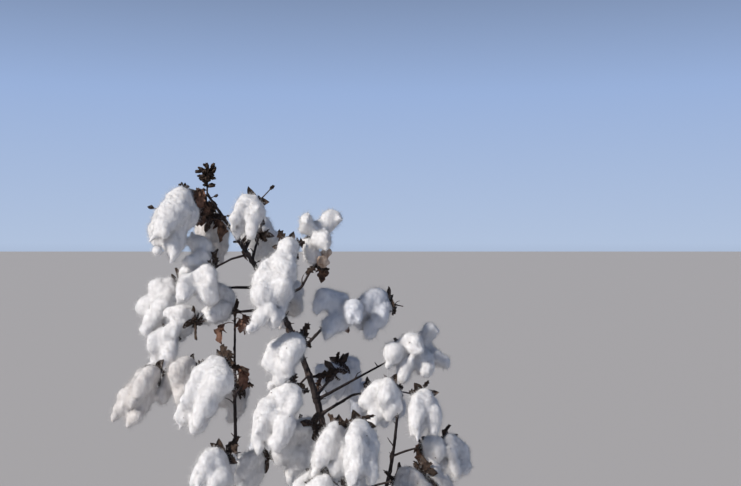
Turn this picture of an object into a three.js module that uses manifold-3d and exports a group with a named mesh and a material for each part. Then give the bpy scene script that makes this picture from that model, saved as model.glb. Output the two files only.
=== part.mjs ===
// A cotton plant at harvest, leafless, its open bolls spilling long soft locks of white lint.
// Millimetres and degrees. +Z is up, and the origin is the middle of the flat cut at ground level.
// A heading of 0 is along +X and 90 is along +Y. A rise is measured up from the level.
import * as THREE from "three";
import { mergeVertices } from "three/addons/utils/BufferGeometryUtils.js";
import Module from "manifold-3d";

const wasm = await Module();
wasm.setup();

// The main stem is upright at its foot, leans over more and more above it, and is upright again at its tip.
const PLANT_HEIGHT = 1000;
const STEM_TOP = 940;
const STEM_FOOT_RADIUS = 9.5;
const STEM_TIP_RADIUS = 1.5;
const STEM_TAPER = 0.8;
const FLARE_RADIUS = 5;
const FLARE_HEIGHT = 16;
const FOOT_TRIM = 2;
const FOOT_LEAN = 0.023;
const STEM_LEAN = 0.667;
const LEAN_FROM = 0.29;
const LEAN_FULL = 0.93;
const UPRIGHT_FROM = 0.935;
const UPRIGHT_FULL = 0.95;
const STEM_BOW = 14;
const STEM_STEP = 4;
const STEM_RING = 36;
const STEM_SIDES = 8;
const STUB = { at: 832, heading: 62, rise: 56, length: 34, radius: 3.2 };

// Two side stems leave the main stem low down, swing out and turn up. reach is their length.
const SIDE_STEMS = [
  { name: "left", at: 118, heading: 195, rise: 34, upturn: 56, turnedBy: 0.7, reach: 660, radius: 5.6 },
  { name: "right", at: 168, heading: 44, rise: 40, upturn: 40, turnedBy: 0.75, reach: 500, radius: 5.2 },
];
const SIDE_TIP_RADIUS = 1.8;
const SIDE_STEPS = 16;
const SIDE_SIDES = 6;

// Fruiting branches. at: height on the main stem, or length along a side stem.
// first: length to the first boll. bolls: how many, in a row along the zigzag.
// next: length from one to the next. sag: rise lost at each of them.
// face: the heading that the bolls turn to. leaves: dead leaves that still cling on.
// hang: 0 for lint that stands in its burr, 1 or more where it hangs out.
// tip: length of bare twig past the last boll.
const COLUMNS = "name stem at heading rise first bolls next sag face hang size leaves tip".split(" ");
const BRANCHES = [
  ["top_left", "main", 920, 196, 0, 47, 1, 0, -4, 196, 0.9, 1.35, 1, 28],
  ["top_whip", "main", 893, 182, -8, 26, 1, 0, 0, 300, 1.1, 1.0, 1, 104],
  ["upper_left", "main", 824, 203, -14, 60, 2, 40, 24, 215, 0.35, 0.88, 0, 12],
  ["top_right", "main", 852, 7, 76, 74, 1, 0, 50, 225, 1.0, 0.95, 0, 40],
  ["upper_back", "main", 812, 88, 30, 92, 1, 0, 0, 90, 0.6, 1.0, 1, 24],
  ["upper_right", "main", 792, 330, 32, 76, 1, 0, 6, 275, 1.9, 1.3, 0, 10],
  ["high_left", "main", 762, 164, -1, 170, 1, 0, 8, 200, 0.9, 1.15, 0, 14],
  ["high_right", "main", 738, 15, 24, 103, 2, 54, -70, 304, 0.0, 0.9, 1, 12],
  ["middle_left", "main", 717, 180, 3, 86, 3, 62, 18, 205, 0.3, 0.88, 1, 14],
  ["middle_back", "main", 692, 104, 22, 120, 2, 56, 12, 80, 0.5, 1.0, 0, 24],
  ["middle_front", "main", 668, 288, 0, 60, 1, 0, 4, 240, 1.1, 1.0, 0, 8],
  ["middle_right", "main", 640, 8, 46, 120, 2, 84, 38, 240, 0.5, 1.05, 1, 18],
  ["mid_front", "main", 596, 254, -12, 78, 1, 0, 4, 255, 1.5, 1.15, 0, 8],
  ["mid_right", "main", 548, 15, 26, 186, 1, 0, 0, 290, 0.5, 1.08, 0, 14],
  ["mid_back", "main", 554, 71, 18, 96, 2, 60, 10, 100, 0.8, 1.0, 1, 20],
  ["lower_right", "main", 520, 343, 32, 148, 2, 54, 44, 250, 0.8, 1.0, 0, 12],
  ["low_front", "main", 488, 268, 14, 96, 1, 0, 6, 245, 1.1, 1.1, 0, 12],
  ["low_right", "main", 470, 286, 16, 138, 2, 54, -6, 250, 1.1, 1.05, 1, 14],
  ["low_left", "main", 416, 204, 16, 108, 1, 0, 6, 225, 0.9, 1.05, 0, 14],
  ["low_back", "main", 420, 122, 24, 122, 2, 56, 10, 140, 0.7, 1.0, 0, 20],
  ["foot_front", "main", 388, 262, 20, 112, 2, 54, 10, 280, 0.8, 1.0, 0, 16],
  ["foot_right", "main", 356, 336, 24, 128, 2, 54, 10, 330, 0.7, 1.0, 1, 20],
  ["foot_back", "main", 304, 80, 28, 118, 1, 0, 10, 80, 0.7, 1.0, 0, 24],
  ["side_crest", "left", 566, 262, 8, 30, 1, 0, 0, 235, 1.5, 1.25, 2, 10],
  ["side_inner", "left", 515, 80, 16, 30, 1, 0, 6, 110, 1.0, 0.9, 0, 14],
  ["side_outer", "left", 548, 174, 12, 76, 2, 60, 14, 205, 0.9, 1.05, 1, 14],
  ["side_front", "left", 400, 262, 20, 52, 2, 50, 10, 250, 0.8, 1.0, 0, 14],
  ["far_outer", "right", 300, 4, 20, 54, 2, 52, 10, 350, 0.7, 1.0, 1, 18],
  ["far_back", "right", 380, 110, 24, 52, 2, 50, 10, 90, 0.7, 1.0, 0, 20],
  ["far_crest", "right", 486, 330, 40, 36, 1, 0, 6, 300, 0.4, 1.0, 0, 26],
];
const BOUGH_RADIUS = 3.1;
const SHORT_BRANCH_RADIUS = 2.4;
const TWIG_TIP_RADIUS = 1;
const ZIGZAG = 17;
const NEXT_RANGE = [0.9, 1.1];
const TIP_LIFT = 20;
const BRANCH_SIDES = 5;
const TWIG_SIDES = 3;
const SPRAY_LEAD = 32;
const SHORTEST_BOUGH = 80;
const JOINT_GAP = 0.3;
const WELD = 0.008;

// An open boll: a dry burr of three or four pointed carpels, with a fat lock of lint out of each.
// The ranges are what one boll or lock differs by from the next.
const STALK_LENGTH = 13;
const STALK_RADIUS = 1.8;
const STALK_FLARE = 1.4;
const STALK_SIDES = 3;
const STALK_RISE = 24;
const FOUR_LOCKS = 0.25;
const BOLL_SIZES = [0.94, 1.06];
const BOLL_TURN = 38;
const AXIS_RISE = 52;
const AXIS_FALL = 60;
const HANG_STEP = 0.3;
const HANG_RANGE = [-0.1, 0.1];
const CARPEL_LENGTH = 27;
const CARPEL_OPEN = 74;
const CARPEL_SHIFT = [-0.15, 0.15];
const BURR_NOTCH = 0.42;
const BURR_DEPTH = 4.5;
const LOCK_ROOT = 8;
const LOCK_LENGTH = 42;
const LOCK_LENGTHS = [0.84, 1.16];
const LOCK_RADIUS = 16.5;
const LOCK_RADII = [0.9, 1.1];
const LOCK_PLUMP = 0.14;
const LOCK_STRETCH = 0.85;
const LOCK_SPREAD = 42;
const LOCK_RINGS = [0, 0.3, 0.75, 1];
const LOCK_BLUNT = 2.4;
const LOCK_NECK = 0.62;
const LOCK_SIDES = 5;
const LOCK_LUMP = 0.1;
const DROOP_RATE = 1.3;
const WIND = [-0.35, 0.05];
const WIND_ACROSS = [-0.1, 0.1];
const FALL_OUT = 0.4;
const TURNS_TRIED = [0, 35, -35, 70, -70, 105, -105, 145];
const CLEARANCE = 1.2;
const BALL_SPACING = 7;

// Dead leaves, and the dried buds at the tips.
const LEAF_LENGTH = 44;
const LEAF_LENGTHS = [0.8, 1.2];
const LEAF_WIDTH = 24;
const LEAF_THICKNESS = 2.2;
const LEAF_CUP = 3;
const LEAF_WIDEST = 0.45;
const LEAF_SWING = [-0.1, 0.3];
const LEAF_ROOM = 0.4;
const LEAF_TURN = 90;
const SIDE_LOBE = 0.72;
const SIDE_LOBE_LEAN = 0.62;
const PETIOLE_LENGTH = 24;
const PETIOLE_RADIUS = 1;
const PETIOLE_RISE = [20, -10];
const PETIOLE_SINK = 3;
const BUD_LENGTH = 12;
const BUD_WIDTH = 8;
const BUD_WIDEST = 0.6;
const BUD_SINK = 2;
const BARE_TWIG = 30;
const TUFT_BUDS = 10;
const TUFT_BUD_LENGTH = 17;
const TUFT_BUD_WIDTH = 8;
const TUFT_RISE = [5, 60];
const TUFT_STALK = 1.2;
const GOLDEN_ANGLE = 137.5;

// The seeds that each branch, boll, set of leaves and the tuft grow from.
const LINE_SEED = 7000;
const BOLL_SEED = 1000;
const LEAF_SEED = 4000;
const TUFT_SEED = 99;
const SEEDS_PER_BRANCH = 10;
const UINT32 = 4294967296;

const BARK = 0x2a1e1c;
const LINT = 0xf0eff2;
const HUSK = 0x3a2820;

const UP = new THREE.Vector3(0, 0, 1);
const radians = THREE.MathUtils.degToRad;
const { lerp, smoothstep } = THREE.MathUtils;
const plus = (a, b, share) => a.clone().addScaledVector(b, share);

// A direction from its heading and rise.
function aim(heading, rise) {
  const level = Math.cos(radians(rise));
  const [x, y] = [Math.cos(radians(heading)), Math.sin(radians(heading))];
  return new THREE.Vector3(level * x, level * y, Math.sin(radians(rise)));
}

// The direction that leans away from an axis, towards a spoke at right angles to it.
function leaning(axis, spoke, degrees) {
  return plus(axis.clone().multiplyScalar(Math.cos(radians(degrees))), spoke, Math.sin(radians(degrees)));
}

// A stream of numbers from 0 to 1 that is the same for the same seed.
function seeded(seed) {
  let state = seed >>> 0;
  return () => {
    state = (state + 0x6d2b79f5) >>> 0;
    let t = Math.imul(state ^ (state >>> 15), state | 1);
    t ^= t + Math.imul(t ^ (t >>> 7), t | 61);
    return ((t ^ (t >>> 14)) >>> 0) / UINT32;
  };
}

// The next number of a stream, laid out over a range.
const within = ([low, high], random) => lerp(low, high, random());

// Lines of points

// The place that lies a number of steps along a line of points.
function pointAlong(points, steps) {
  const k = Math.min(Math.floor(steps), points.length - 2);
  return points[k].clone().lerp(points[k + 1], steps - k);
}

const lengthOf = (points) => points.slice(1).reduce((sum, p, i) => sum + p.distanceTo(points[i]), 0);

// Radii that run evenly from one value to another along a line.
function taper(points, from, to) {
  const whole = lengthOf(points);
  return points.map((_, i) => lerp(from, to, lengthOf(points.slice(0, i + 1)) / whole));
}

// Cuts a line of points at a length along it, and gives the two parts with a gap between them.
function splitLine(points, length, gap) {
  let left = length;
  let k = 0;
  while (left > points[k].distanceTo(points[k + 1])) {
    left -= points[k].distanceTo(points[k + 1]);
    k += 1;
  }
  const along = points[k + 1].clone().sub(points[k]).normalize();
  const cut = plus(points[k], along, left);
  return [[...points.slice(0, k + 1), cut], [plus(cut, along, gap), ...points.slice(k + 1)]];
}

// Solids

function solidOf(geometry) {
  const vertProperties = new Float32Array(geometry.attributes.position.array);
  const triVerts = new Uint32Array(geometry.index.array);
  return new wasm.Manifold(new wasm.Mesh({ numProp: 3, vertProperties, triVerts }));
}

function geometryOf(solid) {
  const made = solid.getMesh();
  const geometry = new THREE.BufferGeometry();
  geometry.setAttribute("position", new THREE.BufferAttribute(made.vertProperties, made.numProp));
  return geometry.setIndex(new THREE.BufferAttribute(made.triVerts, 1));
}

// Moves each corner of a geometry to the place that a rule gives it, and makes a solid of the result.
function reshaped(geometry, placeOf) {
  geometry.deleteAttribute("normal");
  geometry.deleteAttribute("uv");
  const joined = mergeVertices(geometry);
  const position = joined.attributes.position;
  for (let i = 0; i < position.count; i++) {
    const at = placeOf(new THREE.Vector3().fromBufferAttribute(position, i));
    position.setXYZ(i, at.x, at.y, at.z);
  }
  return solidOf(joined);
}

// Sets an upright round geometry on a path, one ring on each point, without twisting it.
function setOnPath(geometry, ringOf, points, radii) {
  const last = points.length - 1;
  const rise = points[1].clone().sub(points[0]);
  let side = new THREE.Vector3(0, 0, 1);
  if (Math.abs(rise.z) > Math.abs(rise.x)) side = new THREE.Vector3(1, 0, 0);
  const frames = points.map((p, k) => {
    const along = points[Math.min(k + 1, last)].clone().sub(points[Math.max(k - 1, 0)]).normalize();
    side = plus(side, along, -side.dot(along)).normalize();
    return [side, side.clone().cross(along)];
  });
  return reshaped(geometry, ({ x, y, z }) => {
    const ring = ringOf(y);
    const spread = Math.hypot(x, z);
    const scale = spread > 1e-6 ? radii[ring] / spread : 0;
    return plus(plus(points[ring], frames[ring][0], x * scale), frames[ring][1], z * scale);
  });
}

// A limb with flat ends through the given points.
function limb(points, radii, sides) {
  const steps = points.length - 1;
  const geometry = new THREE.CylinderGeometry(1, 1, 1, sides, steps);
  return setOnPath(geometry, (y) => Math.round((y + 0.5) * steps), points, radii);
}

// A closed form with round ends through the given points.
function pod(points, radii, sides) {
  const steps = points.length - 1;
  const ringOf = (y) => Math.round(steps * (1 - Math.acos(THREE.MathUtils.clamp(y, -1, 1)) / Math.PI));
  return setOnPath(new THREE.SphereGeometry(1, sides, steps), ringOf, points, radii);
}

// A pointed blade of eight faces, widest and thickest at a share of its length, and cupped to one side.
function blade(base, tip, across, { widest, width, thickness, cup }) {
  const along = tip.clone().sub(base).normalize();
  const wide = plus(across, along, -across.dot(along)).normalize();
  const face = wide.clone().cross(along);
  const middle = base.clone().lerp(tip, widest);
  return reshaped(new THREE.OctahedronGeometry(1), ({ x, y, z }) => {
    if (Math.abs(y) > 0.5) return y > 0 ? tip : base;
    if (Math.abs(x) > 0.5) return plus(middle, wide, (x * width) / 2);
    return plus(middle, face, cup + (z * thickness) / 2);
  });
}

// Stems

function mainStem() {
  const points = [new THREE.Vector3()];
  for (let z = STEM_STEP; z <= PLANT_HEIGHT; z += STEM_STEP) {
    const share = z / PLANT_HEIGHT;
    const leant = FOOT_LEAN + STEM_LEAN * smoothstep(share, LEAN_FROM, LEAN_FULL);
    const lean = leant * (1 - smoothstep(share, UPRIGHT_FROM, UPRIGHT_FULL));
    const x = points.at(-1).x - lean * STEM_STEP;
    points.push(new THREE.Vector3(x, STEM_BOW * Math.sin(Math.PI * 2 * share) * share, z));
  }
  const radiusAt = (z) =>
    lerp(STEM_TIP_RADIUS, STEM_FOOT_RADIUS, (1 - z / PLANT_HEIGHT) ** STEM_TAPER) +
    FLARE_RADIUS * Math.exp(-z / FLARE_HEIGHT);
  const at = (z) => pointAlong(points, z / STEM_STEP);
  return { at, radiusAt, top: STEM_TOP, sides: STEM_SIDES, rings: Math.round(STEM_TOP / STEM_RING) };
}

function sideStem(row, main) {
  const step = row.reach / SIDE_STEPS;
  const points = [main.at(row.at)];
  for (let k = 1; k <= SIDE_STEPS; k++) {
    const rise = row.rise + row.upturn * smoothstep(k / SIDE_STEPS, 0, row.turnedBy);
    points.push(plus(points.at(-1), aim(row.heading, rise), step));
  }
  const radiusAt = (length) => lerp(row.radius, SIDE_TIP_RADIUS, length / row.reach);
  const at = (length) => pointAlong(points, length / step);
  return { at, radiusAt, top: row.reach, sides: SIDE_SIDES, rings: SIDE_STEPS };
}

// The stem's middle line and its radii, grown by skin on every side.
function stemLine(stem, rings, skin = 0) {
  const lengths = Array.from({ length: rings + 1 }, (_, k) => (stem.top * k) / rings);
  const points = lengths.map((along) => stem.at(along));
  const radii = lengths.map((along) => stem.radiusAt(along) + skin);
  const [before, end] = points.slice(-2);
  points[rings] = plus(end, end.clone().sub(before).normalize(), skin);
  return [points, radii];
}

// Fruiting branches

// The middle line of a branch from the middle of its stem out, and where each of its bolls sits and faces.
function branchLine(row, stem, index) {
  const random = seeded(LINE_SEED + index);
  const half = (row.first + stem.radiusAt(row.at)) / 2;
  const points = [stem.at(row.at)];
  const nodes = [];
  const grow = (length, heading, rise) => points.push(plus(points.at(-1), aim(heading, rise), length));
  grow(half, row.heading, row.rise);
  grow(half, row.heading, row.rise - row.sag / 2);
  for (let k = 0; k < row.bolls; k++) {
    const side = k % 2 ? -1 : 1;
    const heading = row.heading + side * ZIGZAG;
    const rise = row.rise - row.sag * (k + 1);
    const face = row.face + (k ? side * BOLL_TURN : 0);
    nodes.push({ at: points.at(-1), face, hang: row.hang + HANG_STEP * k });
    if (k < row.bolls - 1) grow(row.next * within(NEXT_RANGE, random), heading, rise);
    else grow(row.tip, heading, rise + TIP_LIFT);
  }
  return { points, nodes };
}

// Where a boll's locks and carpels go. It is only a plan, so that it can be tried before it is made.
function bollPlan(node, row, turn, seed) {
  const random = seeded(seed);
  const count = random() < FOUR_LOCKS ? 4 : 3;
  const size = row.size * within(BOLL_SIZES, random);
  const hang = node.hang + within(HANG_RANGE, random);
  const wind = new THREE.Vector3(within(WIND, random), within(WIND_ACROSS, random), -1);
  const heading = node.face + turn;
  const fall = plus(wind, aim(heading, 0), FALL_OUT).normalize();
  const centre = plus(node.at, aim(heading, STALK_RISE), STALK_LENGTH * size);
  const axis = aim(heading, AXIS_RISE - AXIS_FALL * Math.min(hang, 1));
  const first = axis.clone().cross(UP).normalize();
  const second = axis.clone().cross(first);
  const spin = random() * 2 * Math.PI;
  const spokes = Array.from({ length: count }, (_, i) => {
    const angle = spin + (i * 2 * Math.PI) / count + within(CARPEL_SHIFT, random);
    return plus(first.clone().multiplyScalar(Math.cos(angle)), second, Math.sin(angle));
  });
  const locks = spokes.map((spoke) => lockPlan({ centre, axis, spoke, size, hang, fall, random }));
  const tips = spokes.map((spoke) => plus(centre, leaning(axis, spoke, CARPEL_OPEN), CARPEL_LENGTH));
  const balls = [
    ...tips.flatMap((tip) => ballsAlong([centre, tip], [BURR_DEPTH, 1])),
    ...locks.flatMap((lock) => ballsAlong(lock.points, lock.radii)),
  ];
  return { from: node.at, centre, axis, spokes, locks, balls };
}

// The middle line of one lock: out of its carpel, then over and down as far as it hangs.
function lockPlan({ centre, axis, spoke, size, hang, fall, random }) {
  const length = LOCK_LENGTH * size * within(LOCK_LENGTHS, random) * (1 + LOCK_STRETCH * Math.max(hang, 0));
  const plump = 1 + LOCK_PLUMP * THREE.MathUtils.clamp(1 - hang, 0, 1);
  const radius = LOCK_RADIUS * size * within(LOCK_RADII, random) * plump;
  const phase = random() * 2 * Math.PI;
  const out = leaning(axis, spoke, LOCK_SPREAD);
  const points = [plus(centre, leaning(axis, spoke, CARPEL_OPEN), LOCK_ROOT)];
  const radii = LOCK_RINGS.map((share) => {
    const blunt = (1 - Math.abs(2 * share - 1) ** LOCK_BLUNT) ** (1 / LOCK_BLUNT);
    const lump = 1 + LOCK_LUMP * Math.sin(phase + 2 * Math.PI * share);
    return radius * blunt * Math.min(1, LOCK_NECK + share) * lump;
  });
  for (let j = 1; j < LOCK_RINGS.length; j++) {
    const droop = THREE.MathUtils.clamp(hang * DROOP_RATE * LOCK_RINGS[j], 0, 1);
    const way = plus(out.clone().multiplyScalar(1 - droop), fall, droop).normalize();
    points.push(plus(points.at(-1), way, length * (LOCK_RINGS[j] - LOCK_RINGS[j - 1])));
  }
  return { points, radii };
}

// The burr: an open star of dry carpels, thick in its middle and sharp at its tips.
function burrSolid({ centre, axis, spokes }) {
  const rim = spokes.flatMap((spoke, i) => {
    const notch = spoke.clone().add(spokes[(i + 1) % spokes.length]).normalize();
    return [
      plus(centre, leaning(axis, spoke, CARPEL_OPEN), CARPEL_LENGTH),
      plus(centre, leaning(axis, notch, CARPEL_OPEN), CARPEL_LENGTH * BURR_NOTCH),
    ];
  });
  return reshaped(new THREE.ConeGeometry(1, 1, rim.length, 1), ({ x, y, z }) => {
    if (Math.hypot(x, z) < 0.5) return plus(centre, axis, y > 0 ? BURR_DEPTH : -BURR_DEPTH);
    const turn = Math.atan2(x, z) / (2 * Math.PI) + 1;
    return rim[Math.round(turn * rim.length) % rim.length];
  });
}

function bollSolids(plan) {
  const stalk = [plan.from, plus(plan.centre, plan.axis, STALK_RADIUS)];
  return [
    limb(stalk, [STALK_RADIUS, STALK_RADIUS * STALK_FLARE], STALK_SIDES),
    burrSolid(plan),
    ...plan.locks.map((lock) => pod(lock.points, lock.radii, LOCK_SIDES)),
  ];
}

// A dead leaf that hangs folded from its stalk: a middle lobe and one side lobe.
function leafPlan(from, heading, random) {
  const length = LEAF_LENGTH * within(LEAF_LENGTHS, random);
  const petiole = aim(heading, within(PETIOLE_RISE, random));
  const elbow = plus(from, petiole, PETIOLE_LENGTH);
  const down = plus(UP.clone().negate(), aim(heading, 0), within(LEAF_SWING, random)).normalize();
  const across = down.clone().cross(aim(heading, 0)).normalize();
  const side = random() < 0.5 ? -SIDE_LOBE_LEAN : SIDE_LOBE_LEAN;
  const lobes = [0, side].map((lean) => {
    const share = lean ? SIDE_LOBE : 1;
    const way = plus(down, across, lean).normalize();
    return { base: elbow, tip: plus(elbow, way, length * share), width: LEAF_WIDTH * share };
  });
  const balls = [
    ...ballsAlong([from, elbow], [0, PETIOLE_RADIUS]).slice(1),
    ...lobes.flatMap(({ base, tip, width }) => ballsAlong([base, tip], [width * LEAF_ROOM, 1])),
  ];
  return { from, end: plus(elbow, petiole, PETIOLE_SINK), across, lobes, balls };
}

function leafSolids({ from, end, across, lobes }) {
  const blades = lobes.map(({ base, tip, width }) =>
    blade(base, tip, across, { widest: LEAF_WIDEST, width, thickness: LEAF_THICKNESS, cup: LEAF_CUP }),
  );
  return [limb([from, end], [PETIOLE_RADIUS, PETIOLE_RADIUS], STALK_SIDES), ...blades];
}

// A dried bud that grows out of a place in a direction, its foot sunk in.
function budSolid(from, way, length, width) {
  const across = aim(GOLDEN_ANGLE, 0).cross(way).normalize();
  const shape = { widest: BUD_WIDEST, width, thickness: width, cup: 0 };
  return blade(plus(from, way, -BUD_SINK), plus(from, way, length), across, shape);
}

// The space that is taken, as balls along lines, each with the name of the node that holds it.
const taken = [];

function ballsAlong(points, radii) {
  return points.slice(1).flatMap((p, i) => {
    const steps = Math.ceil(p.distanceTo(points[i]) / BALL_SPACING);
    return Array.from({ length: steps + 1 }, (_, s) => ({
      at: points[i].clone().lerp(p, s / steps),
      radius: lerp(radii[i], radii[i + 1], s / steps),
    }));
  });
}

const take = (owner, balls, grown = false) => balls.forEach((ball) => taken.push({ owner, grown, ...ball }));

// The first plan that keeps clear of all other nodes, and if it can of what has grown on its own.
function fitting(plans, owner) {
  const clears = (plan, others) =>
    others.every((b) => plan.balls.every((a) => a.at.distanceTo(b.at) > a.radius + b.radius + CLEARANCE));
  const others = taken.filter((b) => b.owner !== owner);
  const own = taken.filter((b) => b.owner === owner && b.grown);
  const free = plans.filter((plan) => clears(plan, others));
  return free.find((plan) => clears(plan, own)) ?? free[0];
}

// The plant, put together

const plant = new THREE.Group();

// Adds a mesh of the largest body of a solid. Corners nearer than WELD are merged first.
function addMesh(name, solid, colour) {
  const bodies = solidOf(mergeVertices(geometryOf(solid), WELD)).decompose();
  const geometry = geometryOf(bodies.sort((a, b) => b.volume() - a.volume())[0]);
  geometry.computeVertexNormals();
  const material = new THREE.MeshStandardMaterial({ color: colour, roughness: 0.9, metalness: 0 });
  const mesh = new THREE.Mesh(geometry, material);
  mesh.name = name;
  plant.add(mesh);
}

const main = mainStem();
const stems = { main };
for (const row of SIDE_STEMS) stems[row.name] = sideStem(row, main);
const cutters = {};
for (const [name, stem] of Object.entries(stems)) {
  cutters[name] = limb(...stemLine(stem, stem.rings, JOINT_GAP), stem.sides);
  take(name, ballsAlong(...stemLine(stem, stem.rings)));
}

// The broken stub at the side of the main stem is one with it.
const stubLine = [main.at(STUB.at), plus(main.at(STUB.at), aim(STUB.heading, STUB.rise), STUB.length)];
const stub = limb(stubLine, [STUB.radius, STUB.radius], BRANCH_SIDES);
take("stub", ballsAlong(stubLine, [STUB.radius, STUB.radius]));
const [mainLine, mainRadii] = stemLine(main, main.rings);
mainLine[0].z -= FOOT_TRIM;
const trunk = limb(mainLine, mainRadii, STEM_SIDES).add(stub);
addMesh("main_stem", trunk.trimByPlane(UP.toArray(), 0), BARK);
for (const { name } of SIDE_STEMS) {
  const solid = limb(...stemLine(stems[name], SIDE_STEPS), SIDE_SIDES);
  addMesh(`side_stem_${name}`, solid.subtract(cutters.main), BARK);
}

// The lines of all branches come before any boll, so that no boll is laid over one.
const sprays = BRANCHES.map((values, index) => {
  const row = Object.fromEntries(COLUMNS.map((column, i) => [column, values[i]]));
  const stem = stems[row.stem];
  const { points, nodes } = branchLine(row, stem, index);
  const spray = { ...row, index, nodes, name: `spray_${row.name}` };
  if (row.first < SHORTEST_BOUGH) {
    spray.line = points;
    spray.radii = taper(points, SHORT_BRANCH_RADIUS, TWIG_TIP_RADIUS);
  } else {
    const name = `bough_${row.name}`;
    const cutAt = row.first + stem.radiusAt(row.at) - SPRAY_LEAD;
    const joint = lerp(BOUGH_RADIUS, TWIG_TIP_RADIUS, cutAt / lengthOf(points));
    const [inner, outer] = splitLine(points, cutAt, JOINT_GAP);
    const radii = taper(inner, BOUGH_RADIUS, joint);
    addMesh(name, limb(inner, radii, BRANCH_SIDES).subtract(cutters[row.stem]), BARK);
    take(name, ballsAlong(inner, radii));
    spray.line = outer;
    spray.radii = taper(outer, joint, TWIG_TIP_RADIUS);
  }
  take(spray.name, ballsAlong(spray.line, spray.radii));
  return spray;
});

for (const spray of sprays) {
  const { name, index, line } = spray;
  const solids = [limb(line, spray.radii, TWIG_SIDES)];
  const growOne = (plans, solidsOf) => {
    const plan = fitting(plans, name);
    if (!plan) return;
    take(name, plan.balls, true);
    solids.push(...solidsOf(plan));
  };
  spray.nodes.forEach((node, k) => {
    const seed = BOLL_SEED + SEEDS_PER_BRANCH * index + k;
    growOne(TURNS_TRIED.map((turn) => bollPlan(node, spray, turn, seed)), bollSolids);
  });
  const random = seeded(LEAF_SEED + index);
  for (let i = 0; i < spray.leaves; i++) {
    const node = spray.nodes[i % spray.nodes.length];
    growOne(TURNS_TRIED.map((turn) => leafPlan(node.at, node.face + LEAF_TURN + turn, random)), leafSolids);
  }
  const way = line.at(-1).clone().sub(line.at(-2)).normalize();
  if (spray.tip > BARE_TWIG) solids.push(budSolid(line.at(-1), way, BUD_LENGTH, BUD_WIDTH));
  addMesh(name, wasm.Manifold.union(solids).subtract(cutters[spray.stem]), LINT);
}

// The tuft of dried buds and bracts at the very tip.
const tuftRandom = seeded(TUFT_SEED);
const tuftFoot = main.at(STEM_TOP);
const tuftHead = new THREE.Vector3(tuftFoot.x, tuftFoot.y, PLANT_HEIGHT - TUFT_BUD_LENGTH);
const tuft = [limb([tuftFoot, tuftHead], [STEM_TIP_RADIUS * TUFT_STALK, STEM_TIP_RADIUS], TWIG_SIDES)];
for (let i = 0; i < TUFT_BUDS; i++) {
  const share = Math.sqrt((i + 1) / TUFT_BUDS);
  const way = aim(GOLDEN_ANGLE * i, i === TUFT_BUDS - 1 ? 90 : lerp(...TUFT_RISE, share * tuftRandom()));
  tuft.push(budSolid(tuftFoot.clone().lerp(tuftHead, share), way, TUFT_BUD_LENGTH, TUFT_BUD_WIDTH));
}
addMesh("tip_tuft", wasm.Manifold.union(tuft).subtract(cutters.main), HUSK);

export default plant;
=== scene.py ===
import math

import bmesh
import bpy
import numpy as np
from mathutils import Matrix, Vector, noise


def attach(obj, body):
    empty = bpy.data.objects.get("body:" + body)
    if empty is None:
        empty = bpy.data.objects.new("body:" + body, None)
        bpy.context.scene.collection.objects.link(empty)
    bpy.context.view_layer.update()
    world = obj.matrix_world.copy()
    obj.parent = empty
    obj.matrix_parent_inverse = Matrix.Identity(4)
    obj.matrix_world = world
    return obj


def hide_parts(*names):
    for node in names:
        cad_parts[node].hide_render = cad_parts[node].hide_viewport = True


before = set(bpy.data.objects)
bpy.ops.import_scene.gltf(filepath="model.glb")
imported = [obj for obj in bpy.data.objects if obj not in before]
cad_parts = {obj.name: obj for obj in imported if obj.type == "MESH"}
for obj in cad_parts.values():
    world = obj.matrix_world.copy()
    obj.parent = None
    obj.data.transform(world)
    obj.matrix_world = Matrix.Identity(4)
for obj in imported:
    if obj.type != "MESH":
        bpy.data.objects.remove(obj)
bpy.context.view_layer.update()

# The studio: a pale matt floor that the plant stands rooted in, one soft lamp far off, high on the left and
# in front, and a plain sky, pale low down and deeper above. The camera stands level, just above the crop.
FLOOR_COLOUR = (0.56, 0.54, 0.52, 1)
FLOOR_REACH = 90
FLOOR_DROP = 0.0006
SKY_COLOURS = {0.44: (0.08, 0.075, 0.07, 1), 0.50: (0.44, 0.54, 0.72, 1), 0.58: (0.32, 0.44, 0.70, 1),
               0.68: (0.10, 0.13, 0.20, 1), 1.0: (0.07, 0.09, 0.14, 1)}
LAMP_STRENGTH = 3.4
LAMP_SPREAD = 7
LAMP_COLOUR = (1.0, 0.95, 0.90)
LAMP_AIM = (2.6, 1.9, -2.0)
CAMERA_PLACE = (0.067, -1.760, 0.846)
CAMERA_LENS = 45
FILM_WIDTH = 36
FARTHEST_SEEN = 200


def new_node(tree, kind, values, feeds):
    """A shader node with some of its sockets set, and others fed by the nodes before it."""
    node = tree.nodes.new("ShaderNode" + kind)
    for socket, value in values.items():
        node.inputs[socket].default_value = value
    for socket, source in feeds.items():
        tree.links.new(source, node.inputs[socket])
    return node


def new_paint(name, values):
    material = bpy.data.materials.new(name)
    material.use_nodes = True
    shader = material.node_tree.nodes["Principled BSDF"]
    for socket, value in values.items():
        shader.inputs[socket].default_value = value
    return material, shader


def placed(name, data, place=(0, 0, 0)):
    thing = bpy.data.objects.new(name, data)
    thing.location = place
    bpy.context.scene.collection.objects.link(thing)
    return thing


floor_mesh = bpy.data.meshes.new("studio_floor")
floor_corners = [(x * FLOOR_REACH, y * FLOOR_REACH, 0) for x, y in ((-1, -1), (1, -1), (1, 1), (-1, 1))]
floor_mesh.from_pydata(floor_corners, [], [(0, 1, 2, 3)])
floor_mesh.materials.append(new_paint("pale_floor_paint", {"Base Color": FLOOR_COLOUR, "Roughness": 0.95})[0])
placed("studio_floor", floor_mesh, (0, 0, -FLOOR_DROP))

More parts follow.
